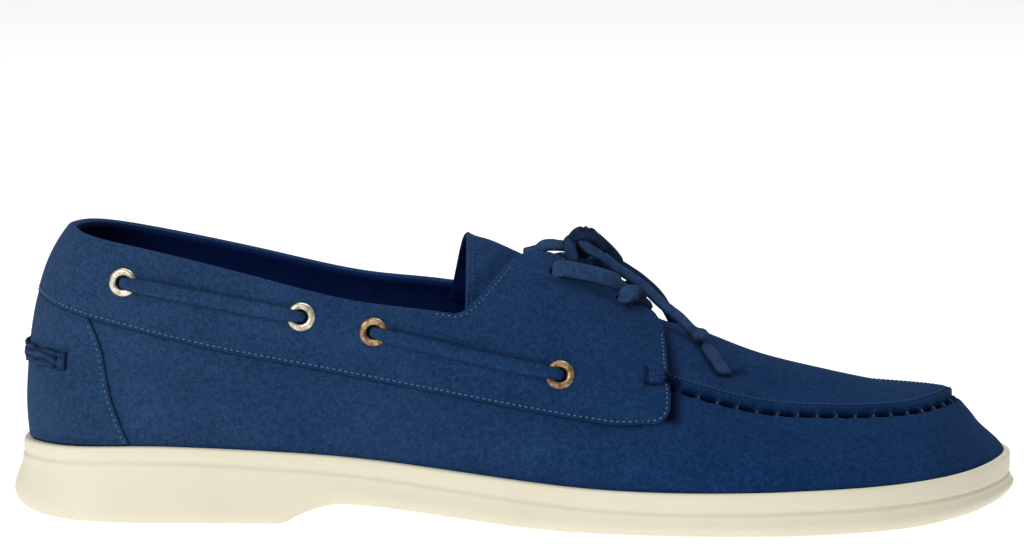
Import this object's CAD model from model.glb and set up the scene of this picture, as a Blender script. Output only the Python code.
"""The looks of a laced boat shoe for the right foot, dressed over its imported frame.

Axes: +X is the toe, +Y the inner side, -Y the outer side, +Z up; the origin is on the floor
under the middle of the shoe. Tables are in millimetres, with x from the back of the heel.
"""

import logging
import math
from dataclasses import dataclass, field
from enum import Enum
from typing import Callable, NamedTuple, Sequence

import bpy
import numpy as np
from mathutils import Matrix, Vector


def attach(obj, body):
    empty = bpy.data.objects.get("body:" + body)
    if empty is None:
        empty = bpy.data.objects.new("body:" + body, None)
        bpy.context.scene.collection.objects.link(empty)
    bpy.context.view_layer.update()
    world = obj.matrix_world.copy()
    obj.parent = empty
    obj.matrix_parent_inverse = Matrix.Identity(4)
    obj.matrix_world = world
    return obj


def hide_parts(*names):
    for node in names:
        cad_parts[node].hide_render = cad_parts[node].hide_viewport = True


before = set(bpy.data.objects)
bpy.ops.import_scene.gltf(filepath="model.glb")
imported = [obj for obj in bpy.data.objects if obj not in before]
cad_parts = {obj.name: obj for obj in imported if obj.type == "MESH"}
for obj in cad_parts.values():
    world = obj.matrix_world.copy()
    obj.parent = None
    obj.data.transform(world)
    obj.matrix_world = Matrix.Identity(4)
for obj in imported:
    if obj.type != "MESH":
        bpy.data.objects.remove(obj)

Array = np.ndarray
MM = 0.001
HALF_LENGTH = 149.0
BODY = "root"
log = logging.getLogger("boat_shoe")


# ---------------------------------------------------------------- curves and the last

def hermite(a: Array, b: Array, slope_a: Array, slope_b: Array, t: Array) -> Array:
    """Cubic from a to b with the given slopes."""
    return (a * (1 + 2 * t) * (1 - t) ** 2 + slope_a * t * (1 - t) ** 2
            + b * t * t * (3 - 2 * t) - slope_b * t * t * (1 - t))


def smooth(t: Array) -> Array:
    """Smooth step from 0 to 1."""
    t = np.clip(t, 0.0, 1.0)
    return t * t * (3 - 2 * t)


def hump(distance: Array, width: float) -> Array:
    """A bell of height 1 and the given half width."""
    return np.exp(-(distance / width) ** 2)


def rounded(distance: Array, radius: float) -> Array:
    """Share of the full thickness at a distance from an edge rounded to a radius."""
    t = np.clip(1 - distance / radius, 0.0, 1.0)
    return np.sqrt(1 - t * t)


def bisect(below: Callable[[Array], Array], low: Array, high: Array, steps: int) -> Array:
    """The place between low and high up to which below holds."""
    for _ in range(steps):
        mid = (low + high) / 2
        under = below(mid)
        low, high = np.where(under, mid, low), np.where(under, high, mid)
    return low


def closed(grid: Array) -> Array:
    """A grid with its first column repeated after its last."""
    return np.concatenate([grid, grid[:, :1]], axis=1)


def unit(vectors: Array) -> Array:
    """Vectors at length one."""
    return vectors / np.maximum(np.linalg.norm(vectors, axis=-1, keepdims=True), 1e-12)


def lengths(points: Array) -> Array:
    """Running length along a line of points."""
    steps = np.linalg.norm(np.diff(points, axis=0), axis=1)
    return np.concatenate([[0.0], np.cumsum(steps)])


def along(points: Array, at: Array) -> Array:
    """Points of a polyline at running lengths."""
    run = lengths(points)
    return np.stack([np.interp(at, run, points[:, k]) for k in range(points.shape[1])], -1)


def route(stops: Sequence[Sequence[float]], count: int) -> Array:
    """Points evenly spread along the smooth curve through the stops."""
    stops = [np.asarray(p, float) for p in stops]
    ends = [2 * stops[0] - stops[1]] + stops + [2 * stops[-1] - stops[-2]]
    fine = []
    for a, b, c, d in zip(ends, ends[1:], ends[2:], ends[3:]):
        for t in np.linspace(0, 1, 12, endpoint=False):
            fine.append(hermite(b, c, (c - a) / 2, (d - b) / 2, t))
    fine = np.array(fine + [stops[-1]])
    return along(fine, np.linspace(0, lengths(fine)[-1], count))


class ClosedCurve:
    """A smooth closed curve through values at whole numbers of its parameter."""

    def __init__(self, values: Sequence[float]) -> None:
        self.values = np.asarray(values, float)
        eye = np.eye(len(self.values))
        system = 4 * eye + np.roll(eye, 1, 1) + np.roll(eye, -1, 1)
        turn = 3 * (np.roll(self.values, -1) - np.roll(self.values, 1))
        self.slopes = np.linalg.solve(system, turn)

    def __call__(self, u: Array) -> Array:
        """Value at u."""
        count = len(self.values)
        u = np.asarray(u, float) % count
        i = np.floor(u).astype(int) % count
        j = (i + 1) % count
        return hermite(self.values[i], self.values[j], self.slopes[i], self.slopes[j], u - np.floor(u))


class OpenCurve:
    """A smooth curve y(x) through points, without overshoot; straight past its ends."""

    def __init__(self, points: Sequence[Sequence[float]], column: int = 1) -> None:
        self.x = np.array([p[0] for p in points], float)
        self.y = np.array([p[column] for p in points], float)
        step = np.diff(self.x)
        rise = np.diff(self.y) / step
        self.slope = np.concatenate([rise[:1], np.zeros(len(rise) - 1), rise[-1:]])
        for i in range(1, len(rise)):
            if rise[i - 1] * rise[i] > 0:
                a, b = step[i - 1], step[i]
                self.slope[i] = 3 * (a + b) / ((2 * b + a) / rise[i - 1] + (b + 2 * a) / rise[i])

    def __call__(self, x: Array) -> Array:
        """Value at x."""
        x = np.asarray(x, float)
        i = np.clip(np.searchsorted(self.x, x, side="right") - 1, 0, len(self.x) - 2)
        step = self.x[i + 1] - self.x[i]
        inside = hermite(self.y[i], self.y[i + 1], self.slope[i] * step, self.slope[i + 1] * step,
                         (x - self.x[i]) / step)
        low = self.y[0] + self.slope[0] * (x - self.x[0])
        high = self.y[-1] + self.slope[-1] * (x - self.x[-1])
        return np.where(x <= self.x[0], low, np.where(x >= self.x[-1], high, inside))


class Section(NamedTuple):
    """One rib of the last, from the feather edge over the wall to the spine."""

    edge_x: float
    lateral_y: float
    medial_y: float
    spine_x: float
    rim_z: float
    bulge_out: float
    bulge_z: float
    wall_in: float
    wall_z: float
    top_in: float
    top_z: float
    medial_drop: float


SECTIONS = [
    Section(8.4, 1.5, 1.5, 46, 19.6, 0.9, 34, 2.7, 61, 12.4, 81.2, 0),
    Section(13.5, -15.5, 18.5, 47, 20.8, 0.9, 34, 2.6, 61, 11.4, 81.1, 0.3),
    Section(25, -25.5, 28.5, 50, 21.7, 1.2, 33, 2.0, 60, 7.6, 80.0, 1.0),
    Section(45, -29.0, 31.5, 58, 22.4, 1.5, 32, 1.2, 57, 4.8, 76.8, 1.4),
    Section(75, -30.0, 31.5, 78, 21.4, 1.5, 30, 0.6, 52, 3.0, 69.9, 0.8),
    Section(105, -32.0, 30.5, 105, 19.5, 1.2, 28, 0.4, 47, 2.5, 63.1, 0.2),
    Section(135, -36.5, 31.0, 135, 16.3, 1.0, 26, 0.8, 43, 3.4, 59.0, 0),
    Section(165, -42.0, 34.5, 164, 13.3, 0.8, 22, 1.8, 35, 6.0, 48.2, 0),
    Section(190, -46.0, 40.5, 188, 12.5, 0.8, 19, 3.4, 28.5, 9.8, 38.4, 0),
    Section(212, -47.5, 45.3, 207, 12.7, 1.0, 17, 4.4, 24.0, 13.4, 31.4, 0),
    Section(232, -46.0, 47.2, 222, 13.1, 1.0, 16.5, 5.0, 22.6, 14.2, 28.8, 0),
    Section(252, -40.5, 44.3, 235, 13.3, 1.0, 16, 5.2, 22.0, 14.4, 27.7, 0),
    Section(270, -30.0, 36.5, 246, 13.6, 0.8, 15, 5.4, 21.4, 14.4, 27.7, 0),
    Section(284, -15.0, 24.5, 254, 14.1, 0.5, 14.5, 5.8, 20.7, 14.4, 28.0, 0),
    Section(292.5, 6.0, 6.0, 259, 14.6, 0.4, 14, 6.0, 20.2, 14.4, 28.2, 0),
]
# The spine of the last: x, to the side, up.
SPINE = [
    (40, 1.5, 104), (75, 1.2, 99), (105, 0.4, 91), (135, -1.0, 79.6), (150, -1.2, 74.6),
    (165, -1.0, 68.8), (178, -0.6, 61.8), (190, 0.0, 54.9), (205, 1.0, 48.0),
    (222, 2.4, 41.2), (240, 4.0, 36.4), (265, 5.8, 30.6),
]
# x, v of the lacing flap's edge on the outer side, and on the inner side.
FLAP_EDGES = [
    (133, 0.75, 0.75), (137, 0.795, 0.79), (142, 0.856, 0.835), (147, 0.916, 0.878),
    (150, 0.943, 0.898), (153, 0.959, 0.912), (158, 0.971, 0.93), (170, 0.968, 0.93), (184, 0.963, 0.93),
]
SADDLE_LOW = [
    (8, 63.2), (20, 60.2), (36, 56.4), (64, 49.8), (96, 44.0), (128, 38.4), (162, 32.4), (177, 29.8),
]
HALF = len(SECTIONS) - 1
ROUND = 2 * HALF
CUP_DEPTH = 6.0
TOP = 0.75


class Last:
    """The foot-shaped form that the upper follows.

    u runs round the foot from the heel over the outer side (HALF is the toe) and back over
    the inner side; v rises from the feather edge (0) over the collar line or seam (TOP) to
    the spine (1).
    """

    def __init__(self) -> None:
        def ring(name: str, medial: str = "") -> ClosedCurve:
            outer = [getattr(s, name) for s in SECTIONS]
            inner = [getattr(s, medial or name) for s in SECTIONS]
            return ClosedCurve(outer + inner[-2:0:-1])

        self.edge_x, self.edge_y = ring("edge_x"), ring("lateral_y", "medial_y")
        self.spine_x, self.rim_z, self.drop = ring("spine_x"), ring("rim_z"), ring("medial_drop")
        self.rib = [(ring("bulge_out"), ring("bulge_z")), (ring("wall_in"), ring("wall_z")),
                    (ring("top_in"), ring("top_z"))]
        self.spine_y, self.spine_z = OpenCurve(SPINE, 1), OpenCurve(SPINE, 2)
        self.flaps = {-1: OpenCurve(FLAP_EDGES, 1), 1: OpenCurve(FLAP_EDGES, 2)}
        self.saddle_edge = OpenCurve(SADDLE_LOW)
        self.table_u = np.linspace(0, HALF, 4001)
        self.table_x = self.spine_x(self.table_u)

    def point(self, u: Array, v: Array) -> Array:
        """Points of the last in millimetres."""
        u, v = np.broadcast_arrays(np.asarray(u, float), np.asarray(v, float))
        sx = self.spine_x(u)
        sy, sz = self.spine_y(sx), self.spine_z(sx)
        ex, ey = self.edge_x(u), self.edge_y(u)
        reach = np.hypot(ex - sx, ey - sy)
        ax, ay = (ex - sx) / reach, (ey - sy) / reach
        (b_out, b_z), (w_in, w_z), (t_in, t_z) = [(a(u), z(u)) for a, z in self.rib]
        t_z = t_z - np.where(u % ROUND > HALF, self.drop(u), 0.0)
        radius = np.stack([reach, reach + b_out, reach - w_in, reach - t_in, 0 * reach])
        height = np.stack([self.rim_z(u) - CUP_DEPTH + 0.3, b_z, w_z, t_z, sz])
        fall = (self.spine_z(sx + 1) - self.spine_z(sx - 1)) / 2
        r_turn = 1.15 * (radius[4] - radius[3])
        r_slope = np.stack([0.6 * b_out, *((radius[k + 1] - radius[k - 1]) / 2 for k in (1, 2, 3)), r_turn])
        z_slope = np.stack([height[1] - height[0], *((height[k + 1] - height[k - 1]) / 2 for k in (1, 2, 3)),
                            r_turn * fall * ax])
        v = np.clip(v, 0.0, 1.0)
        k = np.minimum((v * 4).astype(int), 3)
        t = v * 4 - k

        def pick(table: Array, row: Array) -> Array:
            return np.take_along_axis(table, row[None], 0)[0]

        r = hermite(pick(radius, k), pick(radius, k + 1), pick(r_slope, k), pick(r_slope, k + 1), t)
        z = hermite(pick(height, k), pick(height, k + 1), pick(z_slope, k), pick(z_slope, k + 1), t)
        return np.stack([sx + ax * r, sy + ay * r, z], -1)

    def normal(self, u: Array, v: Array) -> Array:
        """Unit vectors out of the last."""
        v = np.minimum(v, 0.98)
        across = self.point(u, v + 0.004) - self.point(u, np.maximum(v - 0.004, 0.0))
        forward = self.point(np.add(u, 0.02), v) - self.point(np.subtract(u, 0.02), v)
        return unit(np.cross(forward, across))

    def skin(self, u: Array, v: Array, out: Array) -> Array:
        """Points at a distance out of the last."""
        return self.point(u, v) + np.asarray(out)[..., None] * self.normal(u, v)

    def u_at(self, x: Array, side: int) -> Array:
        """u on one side (-1 outer, +1 inner) whose spine lies over x."""
        u = np.interp(x, self.table_x, self.table_u)
        return u if side < 0 else ROUND - u

    def v_at_height(self, u: Array, z: Array) -> Array:
        """v where the rib reaches height z."""
        u, z = np.broadcast_arrays(np.asarray(u, float), np.asarray(z, float))
        return bisect(lambda v: self.point(u, v)[..., 2] < z, np.zeros(u.shape), np.ones(u.shape), 22)

    def walk(self, u: Array) -> tuple[Array, Array]:
        """Steps of v, and the way up each rib to them in millimetres with a column for each rib."""
        grid = np.linspace(0, 1, 321)
        ribs = self.point(u[None], grid[:, None])
        return grid, np.vstack([np.zeros(len(u)), np.cumsum(np.linalg.norm(np.diff(ribs, axis=0), axis=2), 0)])

    def flap_v(self, u: Array) -> Array:
        """v of the upper border of the saddle: collar, flap's rear edge or lacing edge."""
        x = np.clip(self.spine_x(u), FLAP_EDGES[0][0], FLAP_EDGES[-1][0])
        return np.where(np.asarray(u) % ROUND < HALF, self.flaps[-1](x), self.flaps[1](x))

    def saddle_low_v(self, u: Array) -> Array:
        """v of the saddle's lower edge before its front corner."""
        return self.v_at_height(u, self.saddle_edge(self.point(u, 0.5)[..., 0]))

    def spot(self, x: float, z: float, side: int, out: float) -> tuple[float, float]:
        """u and v where the surface at a distance out passes through x and z on one side."""
        aim_x, aim_z = x, z
        u = v = 0.0

        def on_side(way: float) -> float:
            return float(way if side < 0 else ROUND - way)

        def short_of_aim(way: float) -> bool:
            return self.point(on_side(way), self.v_at_height(on_side(way), aim_z))[0] < aim_x

        for _ in range(5):
            u = on_side(bisect(short_of_aim, 0.0, float(HALF), 26))
            v = float(self.v_at_height(u, aim_z))
            found = self.skin(u, v, out)
            aim_x += x - found[0]
            aim_z += z - found[2]
        return u, v


LAST = Last()


# ---------------------------------------------------------------- the modelling bench

# Distance from an edge, in millimetres, past which suede is not rubbed.
UNRUBBED = 5.0


def to_scene(points: Array) -> Array:
    """Table points in millimetres as places in the scene in metres."""
    placed = np.array(points, float)
    placed[..., 0] -= HALF_LENGTH
    return placed * MM


class Bench:
    """Adds primitives, shapes them point by point, joins and closes them."""

    @staticmethod
    def select(pieces: Sequence[bpy.types.Object]) -> None:
        """Selects only the given pieces and makes the first one active."""
        bpy.ops.object.select_all(action="DESELECT")
        for piece in pieces:
            piece.select_set(True)
        bpy.context.view_layer.objects.active = pieces[0]

    @staticmethod
    def add(primitive: Callable[..., set[str]], **settings: object) -> bpy.types.Object:
        """Adds a primitive with nothing else selected."""
        bpy.ops.object.select_all(action="DESELECT")
        primitive(**settings)
        return bpy.context.active_object

    @classmethod
    def join(cls, pieces: Sequence[bpy.types.Object], name: str) -> bpy.types.Object:
        """Joins pieces into one of the given name."""
        cls.select(pieces)
        if len(pieces) > 1:
            bpy.ops.object.join()
        made = bpy.context.active_object
        made.name = made.data.name = name
        return made

    @staticmethod
    def corners(made: bpy.types.Object) -> Array:
        """The point at each corner of each face."""
        corner = np.empty(len(made.data.loops), int)
        made.data.loops.foreach_get("vertex_index", corner)
        return corner

    @classmethod
    def sheet(cls, name: str, points: Array, notes: dict[str, Array] | None = None,
              uv: Array | None = None) -> bpy.types.Object:
        """A grid primitive whose points take the given places.

        Args:
            name: name of the piece.
            points: rows by columns of table points in millimetres.
            notes: named numbers for each point, which finishes may read.
            uv: rows by columns of pattern coordinates.

        Returns:
            The open sheet.
        """
        rows, columns = points.shape[:2]
        made = cls.add(bpy.ops.mesh.primitive_grid_add, x_subdivisions=columns - 1,
                       y_subdivisions=rows - 1, size=1)
        made.name = made.data.name = name
        made.data.vertices.foreach_set("co", to_scene(points).ravel())
        for key, values in (notes or {}).items():
            layer = made.data.attributes.new(key, "FLOAT", "POINT")
            layer.data.foreach_set("value", np.broadcast_to(values, (rows, columns)).ravel().astype(float))
        if uv is not None:
            made.data.uv_layers[0].data.foreach_set("uv", uv.reshape(-1, 2)[cls.corners(made)].ravel())
        made.data.update()
        return made

    @classmethod
    def mark(cls, made: bpy.types.Object, looks: Sequence[bpy.types.Material], columns: int, first: int) -> None:
        """Gives the faces of a sheet from row number first on the second of two looks."""
        made.data.materials.clear()
        for look in looks:
            made.data.materials.append(look)
        row = cls.corners(made).reshape(-1, 4).min(1) // columns
        made.data.polygons.foreach_set("material_index", (row >= first).astype(int))

    @classmethod
    def close(cls, pieces: Sequence[bpy.types.Object], name: str, sharp: float = 60.0,
              gap: float = 0.004, holes: int = 0) -> bpy.types.Object:
        """Joins sheets whose borders meet, welds them and turns their faces outwards.

        Args:
            pieces: the sheets.
            name: name of the finished piece.
            sharp: edges that turn by more degrees than this stay sharp.
            gap: points nearer than this in millimetres are welded.
            holes: gaps with up to this many sides are filled first.

        Returns:
            The closed piece.
        """
        made = cls.join(pieces, name)
        bpy.ops.object.mode_set(mode="EDIT")
        bpy.ops.mesh.select_all(action="SELECT")
        bpy.ops.mesh.remove_doubles(threshold=gap * MM)
        bpy.ops.mesh.dissolve_degenerate(threshold=0.4 * gap * MM)
        if holes:
            bpy.ops.mesh.select_all(action="SELECT")
            bpy.ops.mesh.fill_holes(sides=holes)
        bpy.ops.mesh.select_all(action="SELECT")
        bpy.ops.mesh.normals_make_consistent(inside=False)
        bpy.ops.object.mode_set(mode="OBJECT")
        bpy.ops.object.shade_smooth_by_angle(angle=math.radians(sharp))
        return made

    @classmethod
    def bore(cls, target: bpy.types.Object, holes: Sequence[tuple[Array, Array, float, float]]) -> None:
        """Cuts round holes through a piece.

        Args:
            target: the piece.
            holes: centre in table millimetres, axis, radius and depth of each hole.
        """
        tools = []
        for centre, axis, radius, depth in holes:
            tools.append(cls.add(
                bpy.ops.mesh.primitive_cylinder_add, vertices=28, radius=radius * MM, depth=depth * MM,
                location=tuple(to_scene(centre)), rotation=Vector(axis).to_track_quat("Z", "Y").to_euler()))
        tool = cls.join(tools, "bore")
        cls.select([target])
        cut = target.modifiers.new("bore", "BOOLEAN")
        cut.operation, cut.solver, cut.object = "DIFFERENCE", "EXACT", tool
        bpy.ops.object.modifier_apply(modifier=cut.name)
        bpy.data.objects.remove(tool, do_unlink=True)

    @classmethod
    def lined(cls, name: str, sheets: Sequence[Array], notes: dict[str, Array], looks: Sequence[bpy.types.Material],
              first: int, sharp: float = 60.0, holes: int = 0) -> bpy.types.Object:
        """Closes a face and a back whose borders meet, the back and part of the face in the second look.

        Args:
            name: name of the piece.
            sheets: points of the face and of the back.
            notes: named numbers for the face's points.
            looks: the two looks.
            first: row of the face from which it has the second look.
            sharp: edges that turn by more degrees than this stay sharp.
            holes: gaps with up to this many sides are filled.

        Returns:
            The closed piece.
        """
        face = cls.sheet(name, sheets[0], notes)
        back = cls.sheet(name + "_back", sheets[1], {"rim": UNRUBBED, "shade": 0.0})
        cls.mark(face, looks, sheets[0].shape[1], first)
        cls.mark(back, looks, sheets[1].shape[1], 0)
        return cls.close([face, back], name, sharp=sharp, holes=holes)

    @classmethod
    def plate(cls, name: str, u: Array, v: Array, low: float, high: Array, radius: float,
              relief: Callable[[Array], Array] | None = None, even: float = 0.5,
              shade: Callable[[Array], Array] | None = None) -> bpy.types.Object:
        """A closed plate over the last with all its edges rounded.

        Args:
            name: name of the piece.
            u: rows by columns of the last's first parameter.
            v: rows by columns of the second.
            low: height of its underside over the last.
            high: height of its face.
            radius: rounding of the edges.
            relief: height added to the face at a distance from the border.
            even: where the rounded edge's middle lies between underside (0) and face (1).
            shade: how much darker the finish is at a distance from the border.

        Returns:
            The plate, with its distance from the border noted as rim.
        """
        rim = border_distance(LAST.skin(u, v, (low + high) / 2))
        middle = low + (high - low) * even
        share = rounded(rim, radius)
        added = relief(rim) if relief else 0.0
        notes = {"rim": rim, "shade": shade(rim) if shade else 0.0}
        face = cls.sheet(name, LAST.skin(u, v, middle + (high - middle) * share + added * (rim > 0)), notes)
        back = cls.sheet(name + "_back", LAST.skin(u, v, middle - (middle - low) * share), notes)
        return cls.close([face, back], name)

    @classmethod
    def strap(cls, name: str, path: Array, up: Array, wide: Array, thick: Array,
              power: float = 2.8, sides: int = 18, dome: float = 0.6, shade: "Array | float" = 0.0,
              outline: float = 0.5) -> bpy.types.Object:
        """A strap with rounded sides swept along a path, with domed ends.

        Args:
            name: name of the piece.
            path: centres in table millimetres.
            up: direction of the thin side at each centre.
            wide: half width at each centre.
            thick: half thickness at each centre.
            power: 2 is an ellipse, more is squarer.
            sides: points round the strap.
            dome: length of each end's rounding as a share of the half thickness.
            shade: how much darker the finish is at each centre.
            outline: how much darker it is on the strap's narrow sides.

        Returns:
            The closed strap; its UV runs round it and along it in metres.
        """
        count = len(path)
        wide, thick, shade = (np.broadcast_to(np.asarray(w, float), (count,)).copy() for w in (wide, thick, shade))
        run = unit(np.gradient(path, axis=0))
        side = unit(np.cross(run, up))
        lift = np.cross(side, run)
        turn = np.linspace(0, 2 * math.pi, sides + 1)
        shape_a = np.sign(np.cos(turn)) * np.abs(np.cos(turn)) ** (2 / power)
        shape_b = np.sign(np.sin(turn)) * np.abs(np.sin(turn)) ** (2 / power)
        rings = []
        for k, grow, sign in [(0, g, -1) for g in (1.0, 0.92, 0.72, 0.4)]:
            rings.append((k, math.cos(math.asin(grow)), sign * grow))
        rings += [(k, 1.0, 0.0) for k in range(count)]
        rings += [(count - 1, math.cos(math.asin(g)), g) for g in (0.4, 0.72, 0.92, 1.0)]
        far = lengths(path)
        grid, uv, tone = [], [], []
        narrow = outline * np.abs(np.cos(turn)) ** 8
        for k, scale, ahead in rings:
            centre = path[k] + run[k] * ahead * dome * thick[k]
            tone.append(np.minimum(shade[k] + narrow, 0.95))
            a, b = scale * wide[k] * shape_a, scale * thick[k] * shape_b
            grid.append(centre + a[:, None] * side[k] + b[:, None] * lift[k])
            uv.append(np.stack([turn * wide[k] * MM / 2, np.full(sides + 1, far[k] * MM)], -1))
        made = cls.sheet(name, np.array(grid), {"shade": np.array(tone)}, np.array(uv))
        return cls.close([made], name, sharp=75)


def border_distance(points: Array) -> Array:
    """Distance of each grid point from the grid's border, in the points' unit."""
    ring = np.concatenate([points[0], points[-1], points[:, 0], points[:, -1]])
    starts = np.concatenate([points[0, :-1], points[-1, :-1], points[:-1, 0], points[:-1, -1]])
    ends = np.concatenate([points[0, 1:], points[-1, 1:], points[1:, 0], points[1:, -1]])
    ring = np.concatenate([ring, (starts + ends) / 2])
    made = np.empty(points.shape[:2])
    for k, row in enumerate(points):
        made[k] = np.sqrt(((row[:, None, :] - ring[None]) ** 2).sum(-1).min(1))
    made[0] = made[-1] = 0.0
    made[:, 0] = made[:, -1] = 0.0
    return made


def packed(length: float, count: int, radius: float) -> Array:
    """Shares from 0 to 1 with extra places where both ends are rounded to a radius."""
    turn = radius / length * (1 - np.cos(np.radians([0, 25, 45, 65, 90])))
    inner = np.linspace(turn[-1], 1 - turn[-1], count)
    return np.concatenate([turn[:-1], inner, (1 - turn[:-1])[::-1]])


# ---------------------------------------------------------------- finishes

class Term:
    """A node's output that takes part in sums as a number does."""

    def __init__(self, board: "Board", socket: bpy.types.NodeSocket) -> None:
        self.board, self.socket = board, socket

    def sum(self, operation: str, *values: "Term | float") -> "Term":
        """A Math node over the values."""
        return self.board.add("ShaderNodeMath", {"operation": operation}, *values)

    def __add__(self, other: "Term | float") -> "Term":
        """Sum."""
        return self.sum("ADD", self, other)

    def __radd__(self, other: "Term | float") -> "Term":
        """Reflected sum."""
        return self.sum("ADD", other, self)

    def __sub__(self, other: "Term | float") -> "Term":
        """Difference."""
        return self.sum("SUBTRACT", self, other)

    def __rsub__(self, other: "Term | float") -> "Term":
        """Reflected difference."""
        return self.sum("SUBTRACT", other, self)

    def __mul__(self, other: "Term | float") -> "Term":
        """Product."""
        return self.sum("MULTIPLY", self, other)

    def __rmul__(self, other: "Term | float") -> "Term":
        """Reflected product."""
        return self.sum("MULTIPLY", other, self)


class Board:
    """The node tree of one finish."""

    def __init__(self, name: str) -> None:
        self.material = bpy.data.materials.new(name)
        self.material.use_nodes = True
        self.tree = self.material.node_tree
        self.shader = self.tree.nodes["Principled BSDF"]

    def feed(self, socket: bpy.types.NodeSocket, value: "Term | float | Sequence[float]") -> None:
        """Sets a socket's value, or links it."""
        if isinstance(value, Term):
            self.tree.links.new(value.socket, socket)
        elif getattr(socket, "type", "") == "RGBA" and len(value) == 3:
            socket.default_value = (*value, 1.0)
        else:
            socket.default_value = value

    def add(self, kind: str, settings: dict | None = None, *values: "Term | float",
            output: int = 0, **named: "Term | float") -> Term:
        """Adds any node.

        Args:
            kind: the node's type.
            settings: properties that are set first; stops are a colour ramp's.
            values: values or links of its sockets in order.
            output: number of the output that is used.
            named: values or links by socket name, with _ for a space.

        Returns:
            The output.
        """
        node = self.tree.nodes.new(kind)
        for key, value in (settings or {}).items():
            if key == "stops":
                for element, (place, _) in zip(node.color_ramp.elements, value):
                    element.position = place
                for place, _ in value[2:]:
                    node.color_ramp.elements.new(place)
                for element, (place, colour) in zip(node.color_ramp.elements, value):
                    element.position, element.color = place, (*colour, 1.0)
            else:
                setattr(node, key, value)
        for socket, value in zip(node.inputs, values):
            self.feed(socket, value)
        for key, value in named.items():
            self.feed(node.inputs[key.replace("_", " ")], value)
        return Term(self, node.outputs[output])

    def place(self, scale: Sequence[float] = (1, 1, 1)) -> Term:
        """Object coordinates in metres, stretched by a scale."""
        here = self.add("ShaderNodeTexCoord", output=3)
        return self.add("ShaderNodeMapping", {}, Vector=here, Scale=scale)

    def strip(self, scale: Sequence[float] = (1, 1, 1)) -> Term:
        """The piece's own UV, stretched by a scale."""
        here = self.add("ShaderNodeTexCoord", output=2)
        return self.add("ShaderNodeMapping", {}, Vector=here, Scale=scale)

    def note(self, name: str) -> Term:
        """A number noted on the mesh."""
        return self.add("ShaderNodeAttribute", {"attribute_name": name}, output=2)

    def noise(self, where: Term, size: float, detail: float = 2.0, rough: float = 0.5) -> Term:
        """Cloudy noise with features of a size in millimetres."""
        return self.add("ShaderNodeTexNoise", {}, Vector=where, Scale=1 / (size * MM), Detail=detail,
                        Roughness=rough)

    def ramp(self, value: Term, low: float, high: float, to_low: float = 0.0, to_high: float = 1.0) -> Term:
        """A number taken from one range to another and held there."""
        return self.add("ShaderNodeMapRange", {}, value, low, high, to_low, to_high)

    def mix(self, share: "Term | float", first: "Term | Sequence[float]",
            second: "Term | Sequence[float]", blend: str = "MIX") -> Term:
        """Two colours mixed by a share."""
        node = self.tree.nodes.new("ShaderNodeMix")
        node.data_type, node.blend_type = "RGBA", blend
        for index, value in ((0, share), (6, first), (7, second)):
            self.feed(node.inputs[index], value)
        return Term(self, node.outputs[2])

    def bump(self, height: Term, depth: float, strength: float = 1.0) -> None:
        """Raises the surface by a height map of a depth in millimetres."""
        normal = self.add("ShaderNodeBump", {}, Height=height, Distance=depth * MM, Strength=strength)
        self.feed(self.shader.inputs["Normal"], normal)

    def set(self, **values: "Term | float | Sequence[float]") -> bpy.types.Material:
        """Feeds the shader's sockets and returns the finish."""
        for key, value in values.items():
            self.feed(self.shader.inputs[key.replace("_", " ")], value)
        return self.material


Colour = tuple[float, float, float]


@dataclass(frozen=True)
class Suede:
    """Brushed calf suede: short nap, fine grain, paler towards the heel and on rubbed edges."""

    name: str = "suede"
    deep: Colour = (0.0044, 0.0258, 0.0890)
    pale: Colour = (0.0236, 0.0531, 0.1150)
    dark: Colour = (0.0004, 0.0022, 0.0150)
    rubbed: float = 0.20
    nap: float = 0.12

    def paint(self) -> bpy.types.Material:
        """Builds the finish."""
        board = Board(self.name)
        here = board.place()
        fibre = board.noise(here, 0.62, 3, 0.7)
        fleck = board.noise(here, 1.5, 2, 0.6)
        brushed = board.noise(board.place((1, 1, 1.6)), 24, 2, 0.5)
        grain = board.ramp(fibre * 0.55 + fleck * 0.3 + brushed * 0.15, 0.36, 0.64)
        ahead = board.add("ShaderNodeSeparateXYZ", {}, here)
        worn = board.ramp(ahead, -0.145, 0.07, 0.70, 0.02)
        colour = board.mix(worn + 0.3 * grain - 0.12, self.deep, self.pale)
        tone = board.mix(grain, (0.58, 0.62, 0.67), (1.42, 1.38, 1.33))
        colour = board.mix(1.0, colour, tone, "MULTIPLY")
        edge = board.ramp(board.note("rim"), 0.1, 0.8, self.rubbed, 0.0)
        colour = board.mix(edge, colour, tuple(1.6 * c for c in self.pale))
        colour = board.mix(board.note("shade"), colour, self.dark)
        board.bump(fibre * 0.6 + fleck * 0.4, self.nap, 0.8)
        return board.set(Base_Color=colour, Roughness=0.95, Sheen_Weight=0.035, Sheen_Roughness=0.5,
                         Sheen_Tint=(0.45, 0.68, 1.0), Specular_IOR_Level=0.04)


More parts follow.
